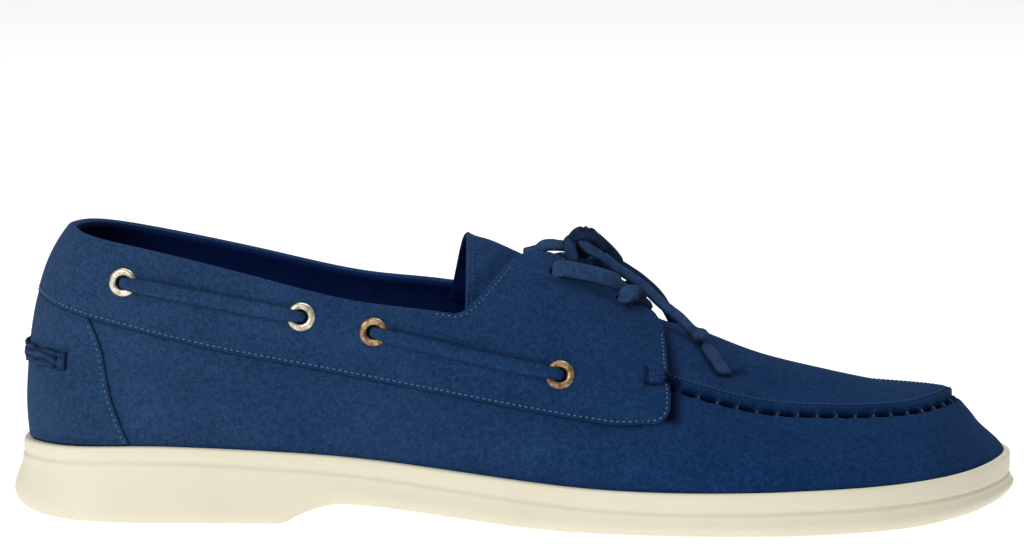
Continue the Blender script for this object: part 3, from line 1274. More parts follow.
@dataclass
class Upper:
    """The hollow wall of quarters, vamp and apron with its hand-sewn raised seam."""

    wardrobe: Wardrobe
    wall: float = 2.05
    tucked: float = 0.35
    backing: float = 0.94
    throat_x: float = 187.0
    pitch: float = 5.9
    seat: float = 0.55
    stitched: list[tuple[Array, Array, Array, float]] = field(default_factory=list)
    edging: list[tuple[Array, Array]] = field(default_factory=list)

    @staticmethod
    def ribs() -> Array:
        """Columns round the foot, about a millimetre apart from the throat forward."""
        fine = np.linspace(0, ROUND, 6001)
        x = LAST.spine_x(fine)
        step = 3.0 - 2.15 * smooth((x - 172) / 12)
        walk = LAST.point(fine, 0.6)
        density = np.concatenate([[0], np.cumsum(np.linalg.norm(np.diff(walk, axis=0), axis=1)
                                                 / ((step[1:] + step[:-1]) / 2))])
        half = density[3000]
        count = int(round(half))
        left = np.interp(np.linspace(0, half, count + 1), density[:3001], fine[:3001])
        return np.concatenate([left, ROUND - left[-2:0:-1]])

    @staticmethod
    def rows() -> tuple[Array, Array, Array]:
        """Row places: shares below the seam zone, millimetres in it, shares above it."""
        zone = np.concatenate([
            np.arange(-6.0, -2.4, 0.6), np.arange(-2.4, 3.8, 0.26), np.arange(3.8, 12.1, 0.85)])
        return np.linspace(0, 1, 31)[:-1], zone, np.linspace(0, 1, 22)[1:]

    @staticmethod
    def shift(u: Array) -> Array:
        """How far up the rib the seam lies from the last's own line."""
        around = u % ROUND
        return np.where(around < HALF, OpenCurve(SEAM_SHIFT)(np.clip(around, 7.0, 14.0)), 0.0)

    @staticmethod
    def rise(u: Array) -> Array:
        """Height of the raised seam: fullest on the outer side."""
        around = u % ROUND
        inner = smooth((around - 13.0) / 3.0)
        return 2.5 - 0.9 * inner

    def relief(self, s: Array, u: Array, run: Array) -> tuple[Array, Array]:
        """Height and darkness of the raised seam.

        Args:
            s: distance from the seam up the rib.
            u: ribs.
            run: distance along the seam from the toe.

        Returns:
            Height over the wall and share of darkness, rows by columns.
        """
        started = smooth((LAST.spine_x(u) - 184) / 5)
        beat = np.cos(2 * math.pi * run / self.pitch)
        dash = smooth((0.72 - beat) / 0.3)
        wall = self.rise(u) * smooth((s + 0.5) / 1.3)
        fall = wall * (1 - 0.55 * smooth((s - 1.1) / 4.5)) * (1 - smooth((s - 4.0) / 10))
        slit = -(0.35 + 0.75 * dash) * hump(s + 0.85, 0.66)
        trough = -0.35 * hump(s - 1.6, 0.36)
        swell = 0.28 * hump(s + 2.6, 1.5) + 0.10 * beat * hump(s + 2.3, 1.3)
        pinch = 0.10 * beat * hump(s - 0.7, 0.8)
        dark = dash * np.exp(-((s + 0.76) / 0.86) ** 4) + 0.3 * hump(s + 0.8, 0.5)
        dark = np.clip(dark + 0.62 * hump(s - 1.6, 0.34), 0, 1)
        return started * (fall + slit + trough + swell + pinch), started * dark

    def build(self) -> None:
        """Builds the wall, cuts the lace holes and dresses it."""
        u = self.ribs()
        x = LAST.spine_x(u)
        crossing = x > self.throat_x
        reach = TOP + self.backing * (LAST.flap_v(u) - TOP)
        curl = np.clip((x - (self.throat_x - 7)) / 7, 0, 1)
        reach = np.where(crossing, 1.0, reach + (1 - reach) * (1 - np.sqrt(1 - curl ** 2)) * 0.9)
        grid, run = LAST.walk(u)
        low_edge = LAST.saddle_low_v(u)
        at = np.array([[np.interp(v, grid, run[:, i]) for v in (TOP, r, low_edge[i])]
                       for i, r in enumerate(reach)])
        seam = at[:, 0] + self.shift(u)
        top = at[:, 1] - np.where(x < 133, 1.2, 1.2 * (1 - smooth((x - 133) / 8)))
        lower, zone, upper = self.rows()
        high = np.maximum(top - seam, 13.0)
        laid = np.vstack([
            -seam[None] + lower[:, None] * (seam - 6)[None], np.repeat(zone[:, None], len(u), 1),
            12 + upper[:, None] * (high - 12)[None]])
        count = len(laid)
        plain = -seam[None] + np.linspace(0, 1, count)[:, None] * top[None]
        share = smooth((x - 140) / 45)[None]
        s = (1 - share) * plain + share * np.minimum(laid, (top - seam)[None])
        v = np.empty(s.shape)
        for i in range(len(u)):
            v[:, i] = np.interp(s[:, i] + seam[i], run[:, i], grid)
        v[-1] = np.where(crossing, 1.0, v[-1])
        line_v = np.array([np.interp(seam[i], run[:, i], grid) for i in range(len(u))])
        middle = int(np.argmin(np.abs(u - HALF)))
        away = lengths(LAST.skin(u, line_v, self.wall))
        away = away - away[middle]
        over_edge = s + (seam - at[:, 2])[None]
        held = 1 - smooth((x - 174) / 9)[None]
        out = self.wall - self.tucked * smooth((over_edge - 1.2) / 1.5) * held
        raised, dark = self.relief(s, u[None], away[None])
        past = np.maximum(x - SADDLE_FRONT, 0)[None]
        flank = (smooth((v - 0.56) / 0.06) * (1 - 0.25 * smooth((v - 0.82) / 0.08))
                 * (1 - smooth((v - 0.92) / 0.05)))
        fading = 1 - smooth((past - 0.8) / 3.8)
        dark = np.maximum(dark, fading * (x > SADDLE_FRONT - 1.5)[None] * flank)
        share = np.linspace(0, 1, 12)
        tip = LAST.skin(LAST.u_at(207.4 + 5 * share, -1), 0.866 + 0.027 * share, self.wall + 0 * share)
        dark = np.maximum(dark, 0.7 * hump(distance_to(LAST.skin(u[None], v, self.wall), tip), 1.35))
        dip = 1.9 * hump(x - 191.0, 7.5)[None] * smooth((v - 0.88) / 0.10)
        free = (top - seam)[None] - s
        edge = np.minimum(np.where(crossing[None], 9.0, free), s + seam[None])
        keep = rounded(edge, 0.7)
        middle_out = self.wall / 2
        outer = LAST.skin(u[None], v, middle_out + (out - middle_out) * keep + raised - dip)
        ranks = np.unique(np.r_[0:3, 3:count - 3:3, count - 3:count])
        inner = LAST.skin(u[None], v[ranks], middle_out * (1 - keep[ranks]) - dip[ranks])
        for sheet in (outer, inner):
            sheet[0, :, 2] = LAST.rim_z(u) - CUP_DEPTH + 0.3
            for i in range(1, middle):
                if crossing[i]:
                    shared = (sheet[-1, i] + sheet[-1, -i]) / 2
                    sheet[-1, i] = sheet[-1, -i] = shared
        made = Bench.lined("upper_dressed", [closed(outer), closed(inner)],
                           {"rim": UNRUBBED, "shade": closed(dark)}, self.wardrobe.looks(), count, 55, 8)
        bored = []
        for side, holes in LACE_HOLES.items():
            bored += [punch(spot, side, self.wall, 2.35) for spot in holes]
            bored += [punch(spot, side, self.seat + 2.5, EYELET_HOLE, 5.0) for spot in EYELETS]
        Bench.bore(made, bored)
        self.wardrobe.dress(made, Finish.SUEDE, "upper", inside=Finish.LINING)
        self.mark_stitches(u, away, seam, run, grid)

    def mark_stitches(self, u: Array, away: Array, seam: Array, run: Array, grid: Array) -> None:
        """Finds the places of the hand stitches across the seam and of the fine row beside it."""

        def spot(place: float, s: float, out: float) -> tuple[Array, Array]:
            at = np.interp(place, away, np.arange(len(u)))
            i = int(at)
            t = at - i
            here_u = u[i] + t * (u[min(i + 1, len(u) - 1)] - u[i])
            pair = ((i, 1 - t), (min(i + 1, len(u) - 1), t))
            here_v = sum(w * np.interp(seam[k] + s, run[:, k], grid) for k, w in pair)
            lift = self.relief(np.array(s), np.array(here_u), np.array(place))[0]
            return LAST.skin(here_u, here_v, self.wall + out + float(lift)), LAST.normal(here_u, here_v)

        x = LAST.spine_x(u)
        ends = away[x > 188.5]
        for k in range(int(ends[0] / self.pitch) + 1, int(ends[-1] / self.pitch)):
            place = k * self.pitch
            low, normal = spot(place - 0.25, -1.45, 0.1)
            high, _ = spot(place + 0.25, -0.25, 0.12)
            long = float(np.linalg.norm(high - low)) + 0.5
            self.stitched.append(((low + high) / 2, unit(high - low), normal, long))
        places = np.arange(ends[0] + 2, ends[-1] - 2, 0.8)
        row = [spot(p, 2.35, -0.04) for p in places]
        self.edging.append((np.array([r[0] for r in row]), np.array([r[1] for r in row])))


# ---------------------------------------------------------------- overlays

@dataclass
class Saddle:
    """The overlay with the rolled collar, the lacing flaps and the eyelets' seats."""

    wardrobe: Wardrobe
    under: float = 2.2
    face: float = SADDLE_FACE
    front_x: float = SADDLE_FRONT
    corner: float = 17.0
    lip: float = 8.0
    sewn_in: float = 1.25
    edge_round: float = 0.45
    # x and v of the bar tack's start, corner and end.
    tack: Sequence[Sequence[float]] = ((184.0, 183.6, 190.0), (0.793, 0.736, 0.768))
    border: dict[str, Array] = field(default_factory=dict)

    def columns(self) -> Array:
        """u of the columns, signed, from the outer front (positive) round the heel."""
        fine = np.linspace(0, LAST.u_at(self.front_x - self.corner, -1), 2000)
        run = lengths(LAST.point(fine, 0.55))
        body = np.interp(np.arange(0, run[-1], 2.0), run, fine)
        turn = np.sin(np.radians(np.linspace(0, 90, 26)))
        front = LAST.u_at(self.front_x - self.corner * (1 - turn), -1)
        outer = np.concatenate([body, front])
        return np.concatenate([outer[::-1], -outer[1:]])

    def low_v(self, u: Array) -> Array:
        """v of the lower edge, rounded up to the front edge."""
        ahead = np.clip((LAST.spine_x(u) - (self.front_x - self.corner)) / self.corner, 0, 1)
        return LAST.saddle_low_v(u) + 0.20 * (1 - np.sqrt(np.maximum(1 - ahead ** 2, 0)))

    def high_v(self, u: Array) -> Array:
        """v of the upper border, rounded down at the front."""
        ahead = np.clip((LAST.spine_x(u) - (self.front_x - 6)) / 6, 0, 1)
        return LAST.flap_v(u) - 0.05 * (1 - np.sqrt(np.maximum(1 - ahead ** 2, 0)))

    @staticmethod
    def flare(x: Array, v: Array) -> Array:
        """How far the lacing flap's upper edge stands off the foot."""
        return 1.3 * hump(x - 158.5, 8.0) * smooth((v - 0.87) / 0.09)

    def face_rows(self, tall: Array, radius: Array, half: Array, lip: Array) -> tuple[Array, Array, int]:
        """Rows from the lower edge up the face, round the upper edge and down its lip.

        Args:
            tall: way from the lower edge to the upper border, for each column.
            radius: rounding of the upper edge in the surface.
            half: half of the edge's thickness.
            lip: depth of the lip's end under the border.

        Returns:
            Depth under the border and height over the last, rows by columns, and the count of face rows.
        """
        near = np.array([0, 0.06, 0.2, 0.4, 0.6, 0.85, 1.1, 1.35, 1.6, 1.9, 2.3, 2.8, 3.4, 4.4])
        left = tall - near[-1] - radius
        down = [tall - d for d in near]
        down += [radius + left * (1 - t) for t in np.linspace(0, 1, 46)[1:-1]]
        on_face = len(down)
        out = [np.full(len(tall), self.face)] * on_face
        for angle in np.radians(np.linspace(0, 180, 13)):
            down.append(radius * (1 - math.sin(angle)))
            out.append(self.face - half + half * math.cos(angle))
        for t in (0.15, 0.35, 0.6, 0.85, 1.0):
            down.append(radius + (lip - radius) * t)
            out.append(self.face - 2 * half)
        return np.array(down), np.array(out), on_face

    def back_rows(self, tall: Array, half: Array, lip: Array, rolled: Array, rows: int) -> tuple[Array, Array]:
        """As many rows as the face has, from the lower edge up the back to the lip's end."""
        back_out = self.face - 2 * half
        inner_out = back_out + 0.3 * rolled
        crest = 1.1 * rolled + 0.5 * (1 - rolled)
        down, outs = [], []
        for t in (0.0, 0.03, 0.3, 0.6, 1.0):
            down.append(lip + (crest - lip) * t)
            outs.append(inner_out if t else back_out)
        for t in (0.3, 0.7, 1.0):
            down.append(crest - 0.25 * math.sin(math.pi * t) * rolled)
            outs.append(inner_out + (self.under - inner_out) * t)
        rest = rows - len(down)
        outs += [np.full(len(tall), self.under)] * rest
        down += [crest + (tall - crest) * t for t in np.linspace(0, 1, rest - 3)[1:]]
        down += [tall - d for d in (0.4, 0.2, 0.06, 0.0)]
        return np.array(down)[::-1], np.array(outs)[::-1]

    def darkness(self, mid: Array, rim: Array, middle: float) -> Array:
        """How dark the face is beside its edge, under the laces and at the bar tacks.

        Args:
            mid: points of the overlay's middle.
            rim: their distance from the sewn border.
            middle: height of those points over the last.

        Returns:
            Share of darkness, rows by columns.
        """
        shade = np.maximum(0.22 * hump(rim - self.sewn_in, 0.5), 0.88 * hump(rim, 0.42))
        for side, holes in LACE_HOLES.items():
            ends_at = [LAST.skin(*LAST.spot(*hole, side, self.face), self.face) for hole in holes]
            under = np.linspace(ends_at[0], ends_at[1] + np.array([1.0, 0, 0]), 24) - np.array([0, 0, 2.4])
            hole = ends_at[1][None] + np.array([[0.5, 0, -0.5]])
            bar_x, bar_v = (np.interp(np.arange(24), (0, 11, 23), k) for k in self.tack)
            bar = LAST.skin(LAST.u_at(bar_x, side), bar_v, np.full(24, middle))
            for line, dark, wide in ((under, 0.72, 3.2), (hole, 0.9, 4.2), (bar, 1.0, 0.72)):
                shade = np.maximum(shade, dark * hump(distance_to(mid, line), wide))
        return shade

    def build(self) -> None:
        """Builds the overlay, cuts its holes and dresses it."""
        w = self.columns()
        u = w % ROUND
        x = LAST.spine_x(u)
        low, high = self.low_v(u), self.high_v(u)
        rolled = 1 - smooth((x - 128) / 7)
        radius = 0.72 + (1.15 - 0.72) * rolled
        half = 0.72 + (1.78 - 0.72) * rolled
        lip = 0.5 + radius + (self.lip - 0.5) * rolled
        grid, run = LAST.walk(u)
        tall = np.array([np.interp(high[i], grid, run[:, i]) - np.interp(low[i], grid, run[:, i])
                         for i in range(len(u))])
        down, out, on_face = self.face_rows(tall, radius, half, lip)
        rows = len(down)
        back_down, back_outs = self.back_rows(tall, half, lip, rolled, rows)

        def lay(depth: Array) -> Array:
            made = np.empty(depth.shape)
            for i in range(len(u)):
                start = np.interp(high[i], grid, run[:, i])
                made[:, i] = np.interp(start - depth[:, i], run[:, i], grid)
            return made

        v, back_v = lay(down), lay(back_down)
        middle = (self.face + self.under) / 2
        mid = LAST.skin(u[None], v, middle)
        sewn = np.concatenate([mid[:, 0], mid[0], mid[:, -1]])
        rim = distance_to(mid, sewn)
        ends = np.minimum(distance_to(mid, mid[:, 0]), distance_to(mid, mid[:, -1]))
        share = rounded(rim, self.edge_round)
        eyelets = [punch(e, side, middle, EYELET_HOLE) for side in (-1, 1) for e in EYELETS]
        relief = -0.20 * hump(rim - self.sewn_in, 0.42)
        for centre, *_ in eyelets:
            relief = relief - 0.25 * hump(np.linalg.norm(mid - centre, axis=-1), 5.2)
        face_only = (np.arange(rows) < on_face)[:, None]
        heights = np.where(face_only, middle + (out - middle) * share + relief * share,
                           middle + (out - middle) * rounded(ends, self.edge_round))
        outer = LAST.skin(u[None], v, heights + self.flare(x[None], v))
        back_rim = distance_to(LAST.skin(u[None], back_v, middle), sewn)
        inner = LAST.skin(u[None], back_v, middle + (back_outs - middle) * rounded(back_rim, self.edge_round)
                          + self.flare(x[None], back_v))
        for k in (0, -1):
            inner[:, k] = outer[:, k]
        inner[0], inner[-1] = outer[0], outer[-1]
        notes = {"rim": np.minimum(rim, UNRUBBED), "shade": self.darkness(mid, rim, middle) * face_only}
        made = Bench.lined("saddle_dressed", [outer, inner], notes, self.wardrobe.looks(), on_face + 7)
        Bench.bore(made, eyelets + [punch(spot, side, middle, 2.3) for side, holes in LACE_HOLES.items()
                                    for spot in holes])
        self.wardrobe.dress(made, Finish.SUEDE, "saddle", inside=Finish.LINING)
        self.border = {"low": np.stack([u, low], -1), "high": np.stack([u, high], -1), "x": x}


def distance_to(points: Array, line: Array) -> Array:
    """Distance of each grid point from a line of points."""
    line = np.concatenate([line, (line[1:] + line[:-1]) / 2])
    return np.array([np.sqrt(((row[:, None, :] - line[None]) ** 2).sum(-1).min(1)) for row in points])


@dataclass
class HeelParts:
    """The counter overlay and the strip sewn over the back of the heel."""

    wardrobe: Wardrobe
    under: float = 2.1
    face: float = 3.0
    lift: float = 0.8
    # height, x of the counter's front edge.
    front: Sequence[tuple[float, float]] = (
        (20, 40.2), (29.2, 36.1), (37.5, 33.3), (43, 32.3), (48.4, 31.4), (54.3, 29.4), (60, 26.8))
    tab_z: float = 45.7
    tab_rise: float = 0.3
    tab_half: float = 2.6
    tab_x: float = 21.8

    @staticmethod
    def u_for(x: Array, v: Array) -> Array:
        """u on the outer side where the last reaches x at v."""
        return bisect(lambda u: LAST.point(u, v)[..., 0] < x, np.zeros(np.shape(v)), np.full(np.shape(v), 5.0), 26)

    def counter_at(self, share: Array, rise: Array) -> tuple[Array, Array]:
        """u and v at shares across (-1 to 1) and up (0 to 1) the counter."""
        front = OpenCurve(self.front)

        def place(limit: Array) -> tuple[Array, Array]:
            u = (share * limit) % ROUND
            low = LAST.v_at_height(u, LAST.rim_z(u) + self.lift)
            high = LAST.v_at_height(u, LAST.saddle_edge(LAST.point(u, 0.5)[..., 0]) + 0.2)
            return u, low + (high - low) * rise

        limit = np.full(np.broadcast(share, rise).shape, 2.9)
        for _ in range(5):
            u, v = place(limit)
            limit = self.u_for(front(LAST.point(u, v)[..., 2]), v)
        return place(limit)

    def build(self) -> None:
        """Builds and dresses the counter and the strip."""
        share = packed(95.0, 60, 0.6) * 2 - 1
        rise = packed(32.0, 26, 0.6)
        u, v = self.counter_at(share[None, :], rise[:, None])
        made = Bench.plate("heel_counter_dressed", u, v, self.under, self.face, 0.45,
                           lambda rim: -0.15 * hump(rim - 1.25, 0.4), 0.35,
                           lambda rim: np.maximum(0.2 * hump(rim - 1.25, 0.5), 0.75 * hump(rim, 0.3)))
        self.wardrobe.dress(made, Finish.SUEDE, "heel_counter")
        reach = float(self.u_for(np.array(self.tab_x), np.array(0.38)))
        share = packed(48.0, 110, 0.8) * 2 - 1
        across = packed(2 * self.tab_half, 22, 0.6) * 2 - 1
        u = np.broadcast_to((share[None] * reach) % ROUND, (len(across), len(share)))
        middle = self.tab_z + self.tab_rise * np.abs(share)[None] + 0.25 * np.sin(share * 19)[None]
        v = LAST.v_at_height(u, middle + across[:, None] * self.tab_half)
        a, b = across[:, None], share[None]
        folds = np.cos(a * 2.3 * math.pi + 1.5 * np.sin(b * 7.3 + 0.4) + 0.8 * np.sin(b * 17 + 2 * a))
        dents = np.sin(b * 37 + 3 * np.sin(a * 3 + 1)) * np.cos(a * 4 + b * 13)
        bar = smooth((np.abs(b) - 0.90) / 0.02)
        wrapped = self.face + 1.15 + (0.24 * folds + 0.20 * dents) * (1 - bar) + 0.12 * bar
        dark = np.clip(0.6 * (0.5 - 0.5 * folds) ** 2 + 0.45 * np.maximum(dents - 0.35, 0)
                       + 0.6 * hump(np.abs(b) - 0.885, 0.015), 0, 1) + 0 * u
        made = Bench.plate("heel_tab_dressed", u, v, self.face + 0.12, wrapped, 0.55, None, 0.2,
                           lambda rim: np.clip(np.maximum(dark * (1 - 0.4 * bar), 0.88 * hump(rim, 0.45)), 0, 1))
        self.wardrobe.dress(made, Finish.SUEDE, "heel_tab")


@dataclass
class Tongue:
    """The tongue that stands up behind the laces."""

    wardrobe: Wardrobe
    thick: float = 2.0
    set_back: float = 6.0
    edge_row: tuple[Array, Array] | None = None
    # x, height by which its free middle stands over the rest.
    crest: Sequence[tuple[float, float]] = (
        (134.8, 2.0), (138, 1.9), (142.7, 1.65), (147.3, 1.15), (150, 0.85), (156, 0.3), (161, 0.0), (194, 0.0),
    )
    # x, v of its side edge, drop under the last.
    ribs: Sequence[tuple[float, float, float]] = (
        (134.8, 0.70, 1.2), (140, 0.70, 1.2), (147, 0.71, 1.2), (156, 0.72, 1.2), (165, 0.74, 1.2),
        (173, 0.76, 1.4), (181, 0.79, 2.4), (188, 0.83, 3.0), (194, 0.88, 2.6),
    )

    def build(self) -> None:
        """Builds and dresses the tongue."""
        low_at, drop_at = OpenCurve(self.ribs, 1), OpenCurve(self.ribs, 2)
        x = self.ribs[0][0] + (self.ribs[-1][0] - self.ribs[0][0]) * packed(66.0, 50, 0.7)
        half = 1 - packed(30.0, 26, 0.7)[::-1]
        half = np.sort(np.unique(np.concatenate([half[half < 0.96], [1.0]])))
        low, drop = low_at(x), drop_at(x)
        columns = []
        for side in (-1, 1):
            v = low[None] + (1 - low)[None] * half[:, None]
            back = self.set_back * (1 - half[:, None]) * (1 - smooth((x[None] - 134.8) / 14))
            here_u = LAST.u_at(x[None] - (back if side > 0 else 0 * back), side)
            lift = OpenCurve(self.crest)(x)[None] * smooth((v - LAST.flap_v(here_u) - 0.004) / 0.07)
            columns.append((here_u, v, lift - drop[None]))
        (u_a, v_a, out_a), (u_b, v_b, out_b) = columns
        sheets = []
        for extra in (0.0, self.thick):
            a = LAST.skin(u_a, v_a, out_a - extra)
            b = LAST.skin(u_b, v_b, out_b - extra)
            ridge = (a[-1:] + b[-1:]) / 2
            sheets.append(np.concatenate([a[:-1], ridge, b[:-1][::-1]]))
        top, bottom = sheets
        rim = border_distance((top + bottom) / 2)
        share = rounded(rim, 0.9)[..., None]
        middle = (top + bottom) / 2
        seam = (0.25 * hump(rim - 2.2, 0.5) + 0.35 * hump(rim - 3.4, 2.0))[..., None] * unit(top - bottom)
        shaped = middle + (top - middle) * share - seam * share
        made = Bench.lined("tongue_dressed", [shaped, middle + (bottom - middle) * share],
                           {"rim": rim, "shade": 0.0}, self.wardrobe.looks(), len(shaped))
        self.wardrobe.dress(made, Finish.SUEDE, "tongue", inside=Finish.LINING)
        column = int(np.argmin(np.abs(x - (x[0] + 2.3))))
        rows = slice(3, -3)
        self.edge_row = (shaped[rows, column], unit(top - bottom)[rows, column])


# ---------------------------------------------------------------- eyelets and side laces

@dataclass
class Eyelets:
    """The turned metal rings along both sides of the collar."""

    wardrobe: Wardrobe
    # radius, height over the saddle's face, along the turned section.
    section: Sequence[tuple[float, float]] = (
        (1.95, -2.4), (1.95, 0.15), (2.03, 0.42), (2.25, 0.62), (2.6, 0.74), (3.0, 0.78), (3.4, 0.72),
        (3.75, 0.55), (4.0, 0.32), (4.1, 0.12), (4.05, 0.02), (3.8, -0.02), (2.7, -0.02), (2.45, -0.3),
        (2.45, -2.4), (1.95, -2.4),
    )

    def build(self) -> None:
        """Builds and dresses all rings."""
        for side, word in ((-1, "lateral"), (1, "medial")):
            for i, spot in enumerate(EYELETS, 1):
                u, v = LAST.spot(*spot, side, SADDLE_FACE)
                turn = np.linspace(0, 2 * math.pi, 49)
                r = np.array([p[0] for p in self.section])[:, None]
                z = np.array([p[1] for p in self.section])[:, None] - 0.15
                axis = LAST.normal(u, v)
                first = unit(np.cross(axis, np.array([0.0, 0.0, 1.0])))
                second = np.cross(axis, first)
                centre = LAST.skin(u, v, SADDLE_FACE)
                ring = (centre + (r * np.cos(turn))[..., None] * first + (r * np.sin(turn))[..., None] * second
                        + (z + 0 * turn)[..., None] * axis)
                name = f"eyelet_{word}_{i}"
                made = Bench.close([Bench.sheet(name + "_dressed", ring)], name + "_dressed", sharp=50)
                finish = Finish.SILVER if i <= 2 else Finish.COPPER
                self.wardrobe.dress(made, finish, name)


@dataclass
class SideLaces:
    """The flat stretches of lace between the eyelets of each side."""

    wardrobe: Wardrobe
    # distance from the eyelet's middle, height over the face, half width, half thickness.
    lifts: Sequence[tuple[float, float, float, float]] = (
        (0, -2.2, 1.5, 1.2), (0.15, -0.4, 1.55, 1.2), (0.9, 1.0, 1.65, 1.15), (2.4, 1.75, 1.8, 1.1),
        (4.6, 1.65, 2.05, 1.1), (7, 1.15, 2.2, 1.1), (11, 0.95, 2.3, 1.1),
    )

    def build(self) -> None:
        """Builds and dresses the four stretches."""
        for side, word in ((-1, "lateral"), (1, "medial")):
            for first, second, where in ((0, 1, "rear"), (2, 3, "front")):
                a = np.array(LAST.spot(*EYELETS[first], side, SADDLE_FACE))
                b = np.array(LAST.spot(*EYELETS[second], side, SADDLE_FACE))
                span = float(np.linalg.norm(LAST.skin(*a, SADDLE_FACE) - LAST.skin(*b, SADDLE_FACE)))
                half = [(d / span, h, w, t) for d, h, w, t in self.lifts]
                rows = half + [(0.5, *self.lifts[-1][1:])] + [(1 - s, h, w, t) for s, h, w, t in half[::-1]]
                fine = route([(s * span, h, 0.0) for s, h, _, _ in rows], 110)
                at = fine[:, 0] / span
                order = lengths(np.array([(s * span, h) for s, h, _, _ in rows]))
                here = np.linspace(0, order[-1], len(fine))
                wide = np.interp(here, order, [r[2] for r in rows])
                thick = np.interp(here, order, [r[3] for r in rows])
                spot = a[None] + (b - a)[None] * at[:, None]
                ends = LAST.skin(np.array([a[0], b[0]]), np.array([a[1], b[1]]), SADDLE_FACE)
                for _ in range(3):
                    laid = LAST.skin(spot[:, 0], spot[:, 1], SADDLE_FACE)
                    short = np.interp(laid[:, 0], ends[:, 0], ends[:, 2]) - laid[:, 2]
                    level = LAST.point(spot[:, 0], spot[:, 1])[:, 2] + short
                    spot[:, 1] = LAST.v_at_height(spot[:, 0], level)
                path = LAST.skin(spot[:, 0], spot[:, 1], SADDLE_FACE + fine[:, 1])
                run = unit(np.gradient(path, axis=0))
                broad = unit(np.cross(LAST.skin(*b, 0.0) - LAST.skin(*a, 0.0),
                                      LAST.normal(spot[:, 0], spot[:, 1])))
                up = np.cross(broad, run)
                made = Bench.strap(f"side_lace_{word}_{where}_dressed", path, up, wide, thick, 2.2, outline=0.8)
                self.wardrobe.dress(made, Finish.SIDE_LACE, f"side_lace_{word}_{where}")


# ---------------------------------------------------------------- stitching

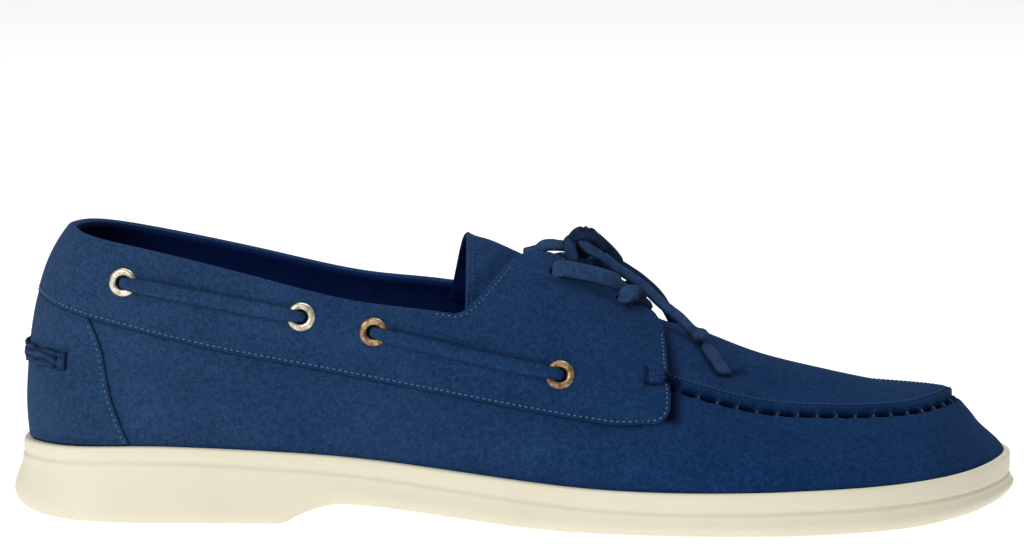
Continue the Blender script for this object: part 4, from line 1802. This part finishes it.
@dataclass
class Stitching:
    """Rows of machine stitches and the hand stitches of the raised seam."""

    wardrobe: Wardrobe
    saddle: Saddle
    upper: Upper
    heel: HeelParts
    tongue: Tongue
    length: float = 1.15
    radius: float = 0.27
    pitch: float = 1.75
    rows: list[tuple[Array, Array, float]] = field(default_factory=list)

    def stitch(self) -> tuple[Array, Array]:
        """Points and faces of one stitch: a short capsule along x that bows outwards."""
        model = Bench.add(bpy.ops.mesh.primitive_uv_sphere_add, segments=6, ring_count=5, radius=1)
        points = np.array([v.co[:] for v in model.data.vertices])
        faces = [list(p.vertices) for p in model.data.polygons]
        bpy.data.objects.remove(model, do_unlink=True)
        along_x = points[:, 2]
        return np.stack([along_x, points[:, 0], points[:, 1] - 0.8 * along_x ** 2], -1), faces

    def row(self, line: Array, normal: Array, inset: float, size: float = 1.0) -> None:
        """A row of stitches beside a line.

        Args:
            line: points of the line on the face.
            normal: outward normals there.
            inset: distance to the side of the line, to the left of its run.
            size: scale of the stitches and of the way from one to the next.
        """
        even = np.linspace(0, lengths(line)[-1], max(int(lengths(line)[-1] / 0.6), 8))
        share = lengths(line)
        normal = unit(np.stack([np.interp(even, share, normal[:, k]) for k in range(3)], -1))
        line = along(line, even)
        run = unit(np.gradient(line, axis=0))
        moved = line + inset * unit(np.cross(normal, run))
        share = lengths(moved)
        count = max(int(share[-1] / (self.pitch * size)), 2)
        at = (np.arange(count) + 0.5) * share[-1] / count
        centre = along(moved, at)
        out = unit(np.stack([np.interp(at, share, normal[:, k]) for k in range(3)], -1))
        ahead = unit(np.stack([np.interp(at, share, run[:, k]) for k in range(3)], -1))
        self.rows.append((np.stack([centre, ahead, out], 1), np.full(count, self.length * size),
                          self.radius * size))

    def join(self, name: str, finish: Finish = Finish.THREAD) -> None:
        """Makes one piece of the rows collected so far."""
        model, faces = self.stitch()
        points, all_faces = [], []
        for places, long, thick in self.rows:
            for (centre, ahead, out), size in zip(places, long):
                side = unit(np.cross(out, ahead))
                start = len(points) * len(model)
                points.append(centre + model[:, :1] * size / 2 * ahead
                              + thick * (model[:, 1:2] * side + model[:, 2:3] * out))
                all_faces += [[start + i for i in face] for face in faces]
        data = bpy.data.meshes.new(name)
        data.from_pydata(to_scene(np.concatenate(points)).tolist(), [], all_faces)
        data.update()
        made = bpy.data.objects.new(name, data)
        bpy.context.scene.collection.objects.link(made)
        Bench.select([made])
        bpy.ops.object.mode_set(mode="EDIT")
        bpy.ops.mesh.select_all(action="SELECT")
        bpy.ops.mesh.normals_make_consistent(inside=False)
        bpy.ops.object.mode_set(mode="OBJECT")
        bpy.ops.object.shade_smooth()
        self.wardrobe.dress(made, finish)
        self.rows.clear()

    def on_face(self, spots: Array, out: "Array | float") -> tuple[Array, Array]:
        """Points and normals of a line given by u and v."""
        return LAST.skin(spots[:, 0], spots[:, 1], out), LAST.normal(spots[:, 0], spots[:, 1])

    def build(self) -> None:
        """Sews all rows."""
        face = SADDLE_FACE - 0.13
        low, high, x = (self.saddle.border[k] for k in ("low", "high", "x"))
        fronts = []
        for k in (0, -1):
            span = np.linspace(low[k, 1], high[k, 1] - 0.012, 40)
            fronts.append(np.stack([np.full(40, low[k, 0]), span], -1))
        border = np.concatenate([fronts[0][::-1], low[1:-1], fronts[1]])
        line, normal = self.on_face(border, face)
        self.row(line, normal, -self.saddle.sewn_in)
        for side in (-1, 1):
            inside = (np.where(low[:, 0] < HALF, -1, 1) == side) & (x > 126) & (x < 167)
            stands = face + Saddle.flare(x[inside], high[inside, 1] - 0.013)
            edge, out = self.on_face(high[inside], stands)
            self.row(edge, out, 1.55)
            for low_v in (0.757, 0.779):
                across = np.linspace(0, 1, 9)
                tack = np.stack([LAST.u_at(184.6 + 4.6 * across, side), low_v + 0.024 * across], -1)
                self.row(*self.on_face(tack, face + 0.1), 0.0, 0.6)
        self.join("saddle_stitches")
        rise = np.linspace(0.03, 0.97, 40)
        for share in (-1.0, 1.0):
            u, v = self.heel.counter_at(np.full(40, share), rise)
            edge, out = self.on_face(np.stack([u, v], -1), self.heel.face - 0.12)
            self.row(edge, out, 1.25 * share, 0.95)
        self.join("fine_stitches")
        if self.tongue.edge_row is not None:
            self.row(*self.tongue.edge_row, 0.0, 0.85)
        for edge, out in self.upper.edging:
            self.row(edge, out, 0.0, 0.85)
        for centre, ahead, out, long in self.upper.stitched:
            self.rows.append((np.stack([centre, ahead, out])[None], np.array([long]), 0.36))
        self.join("seam_stitches", Finish.HAND_THREAD)


# ---------------------------------------------------------------- the shoe

def main() -> None:
    """Builds the scene in order: camera, cords, then the pieces from the sole up."""
    logging.basicConfig(level=logging.INFO, format="%(message)s")
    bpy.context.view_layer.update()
    wardrobe = Wardrobe()
    studio = Studio()
    studio.camera()
    lacing = FrontLacing(wardrobe)
    lacing.build_cords()
    lacing.build_strands()
    Sole(wardrobe).build()
    upper = Upper(wardrobe)
    upper.build()
    saddle = Saddle(wardrobe)
    saddle.build()
    heel = HeelParts(wardrobe)
    heel.build()
    tongue = Tongue(wardrobe)
    tongue.build()
    Eyelets(wardrobe).build()
    SideLaces(wardrobe).build()
    Stitching(wardrobe, saddle, upper, heel, tongue).build()
    studio.build()


if __name__ == "__main__":
    main()
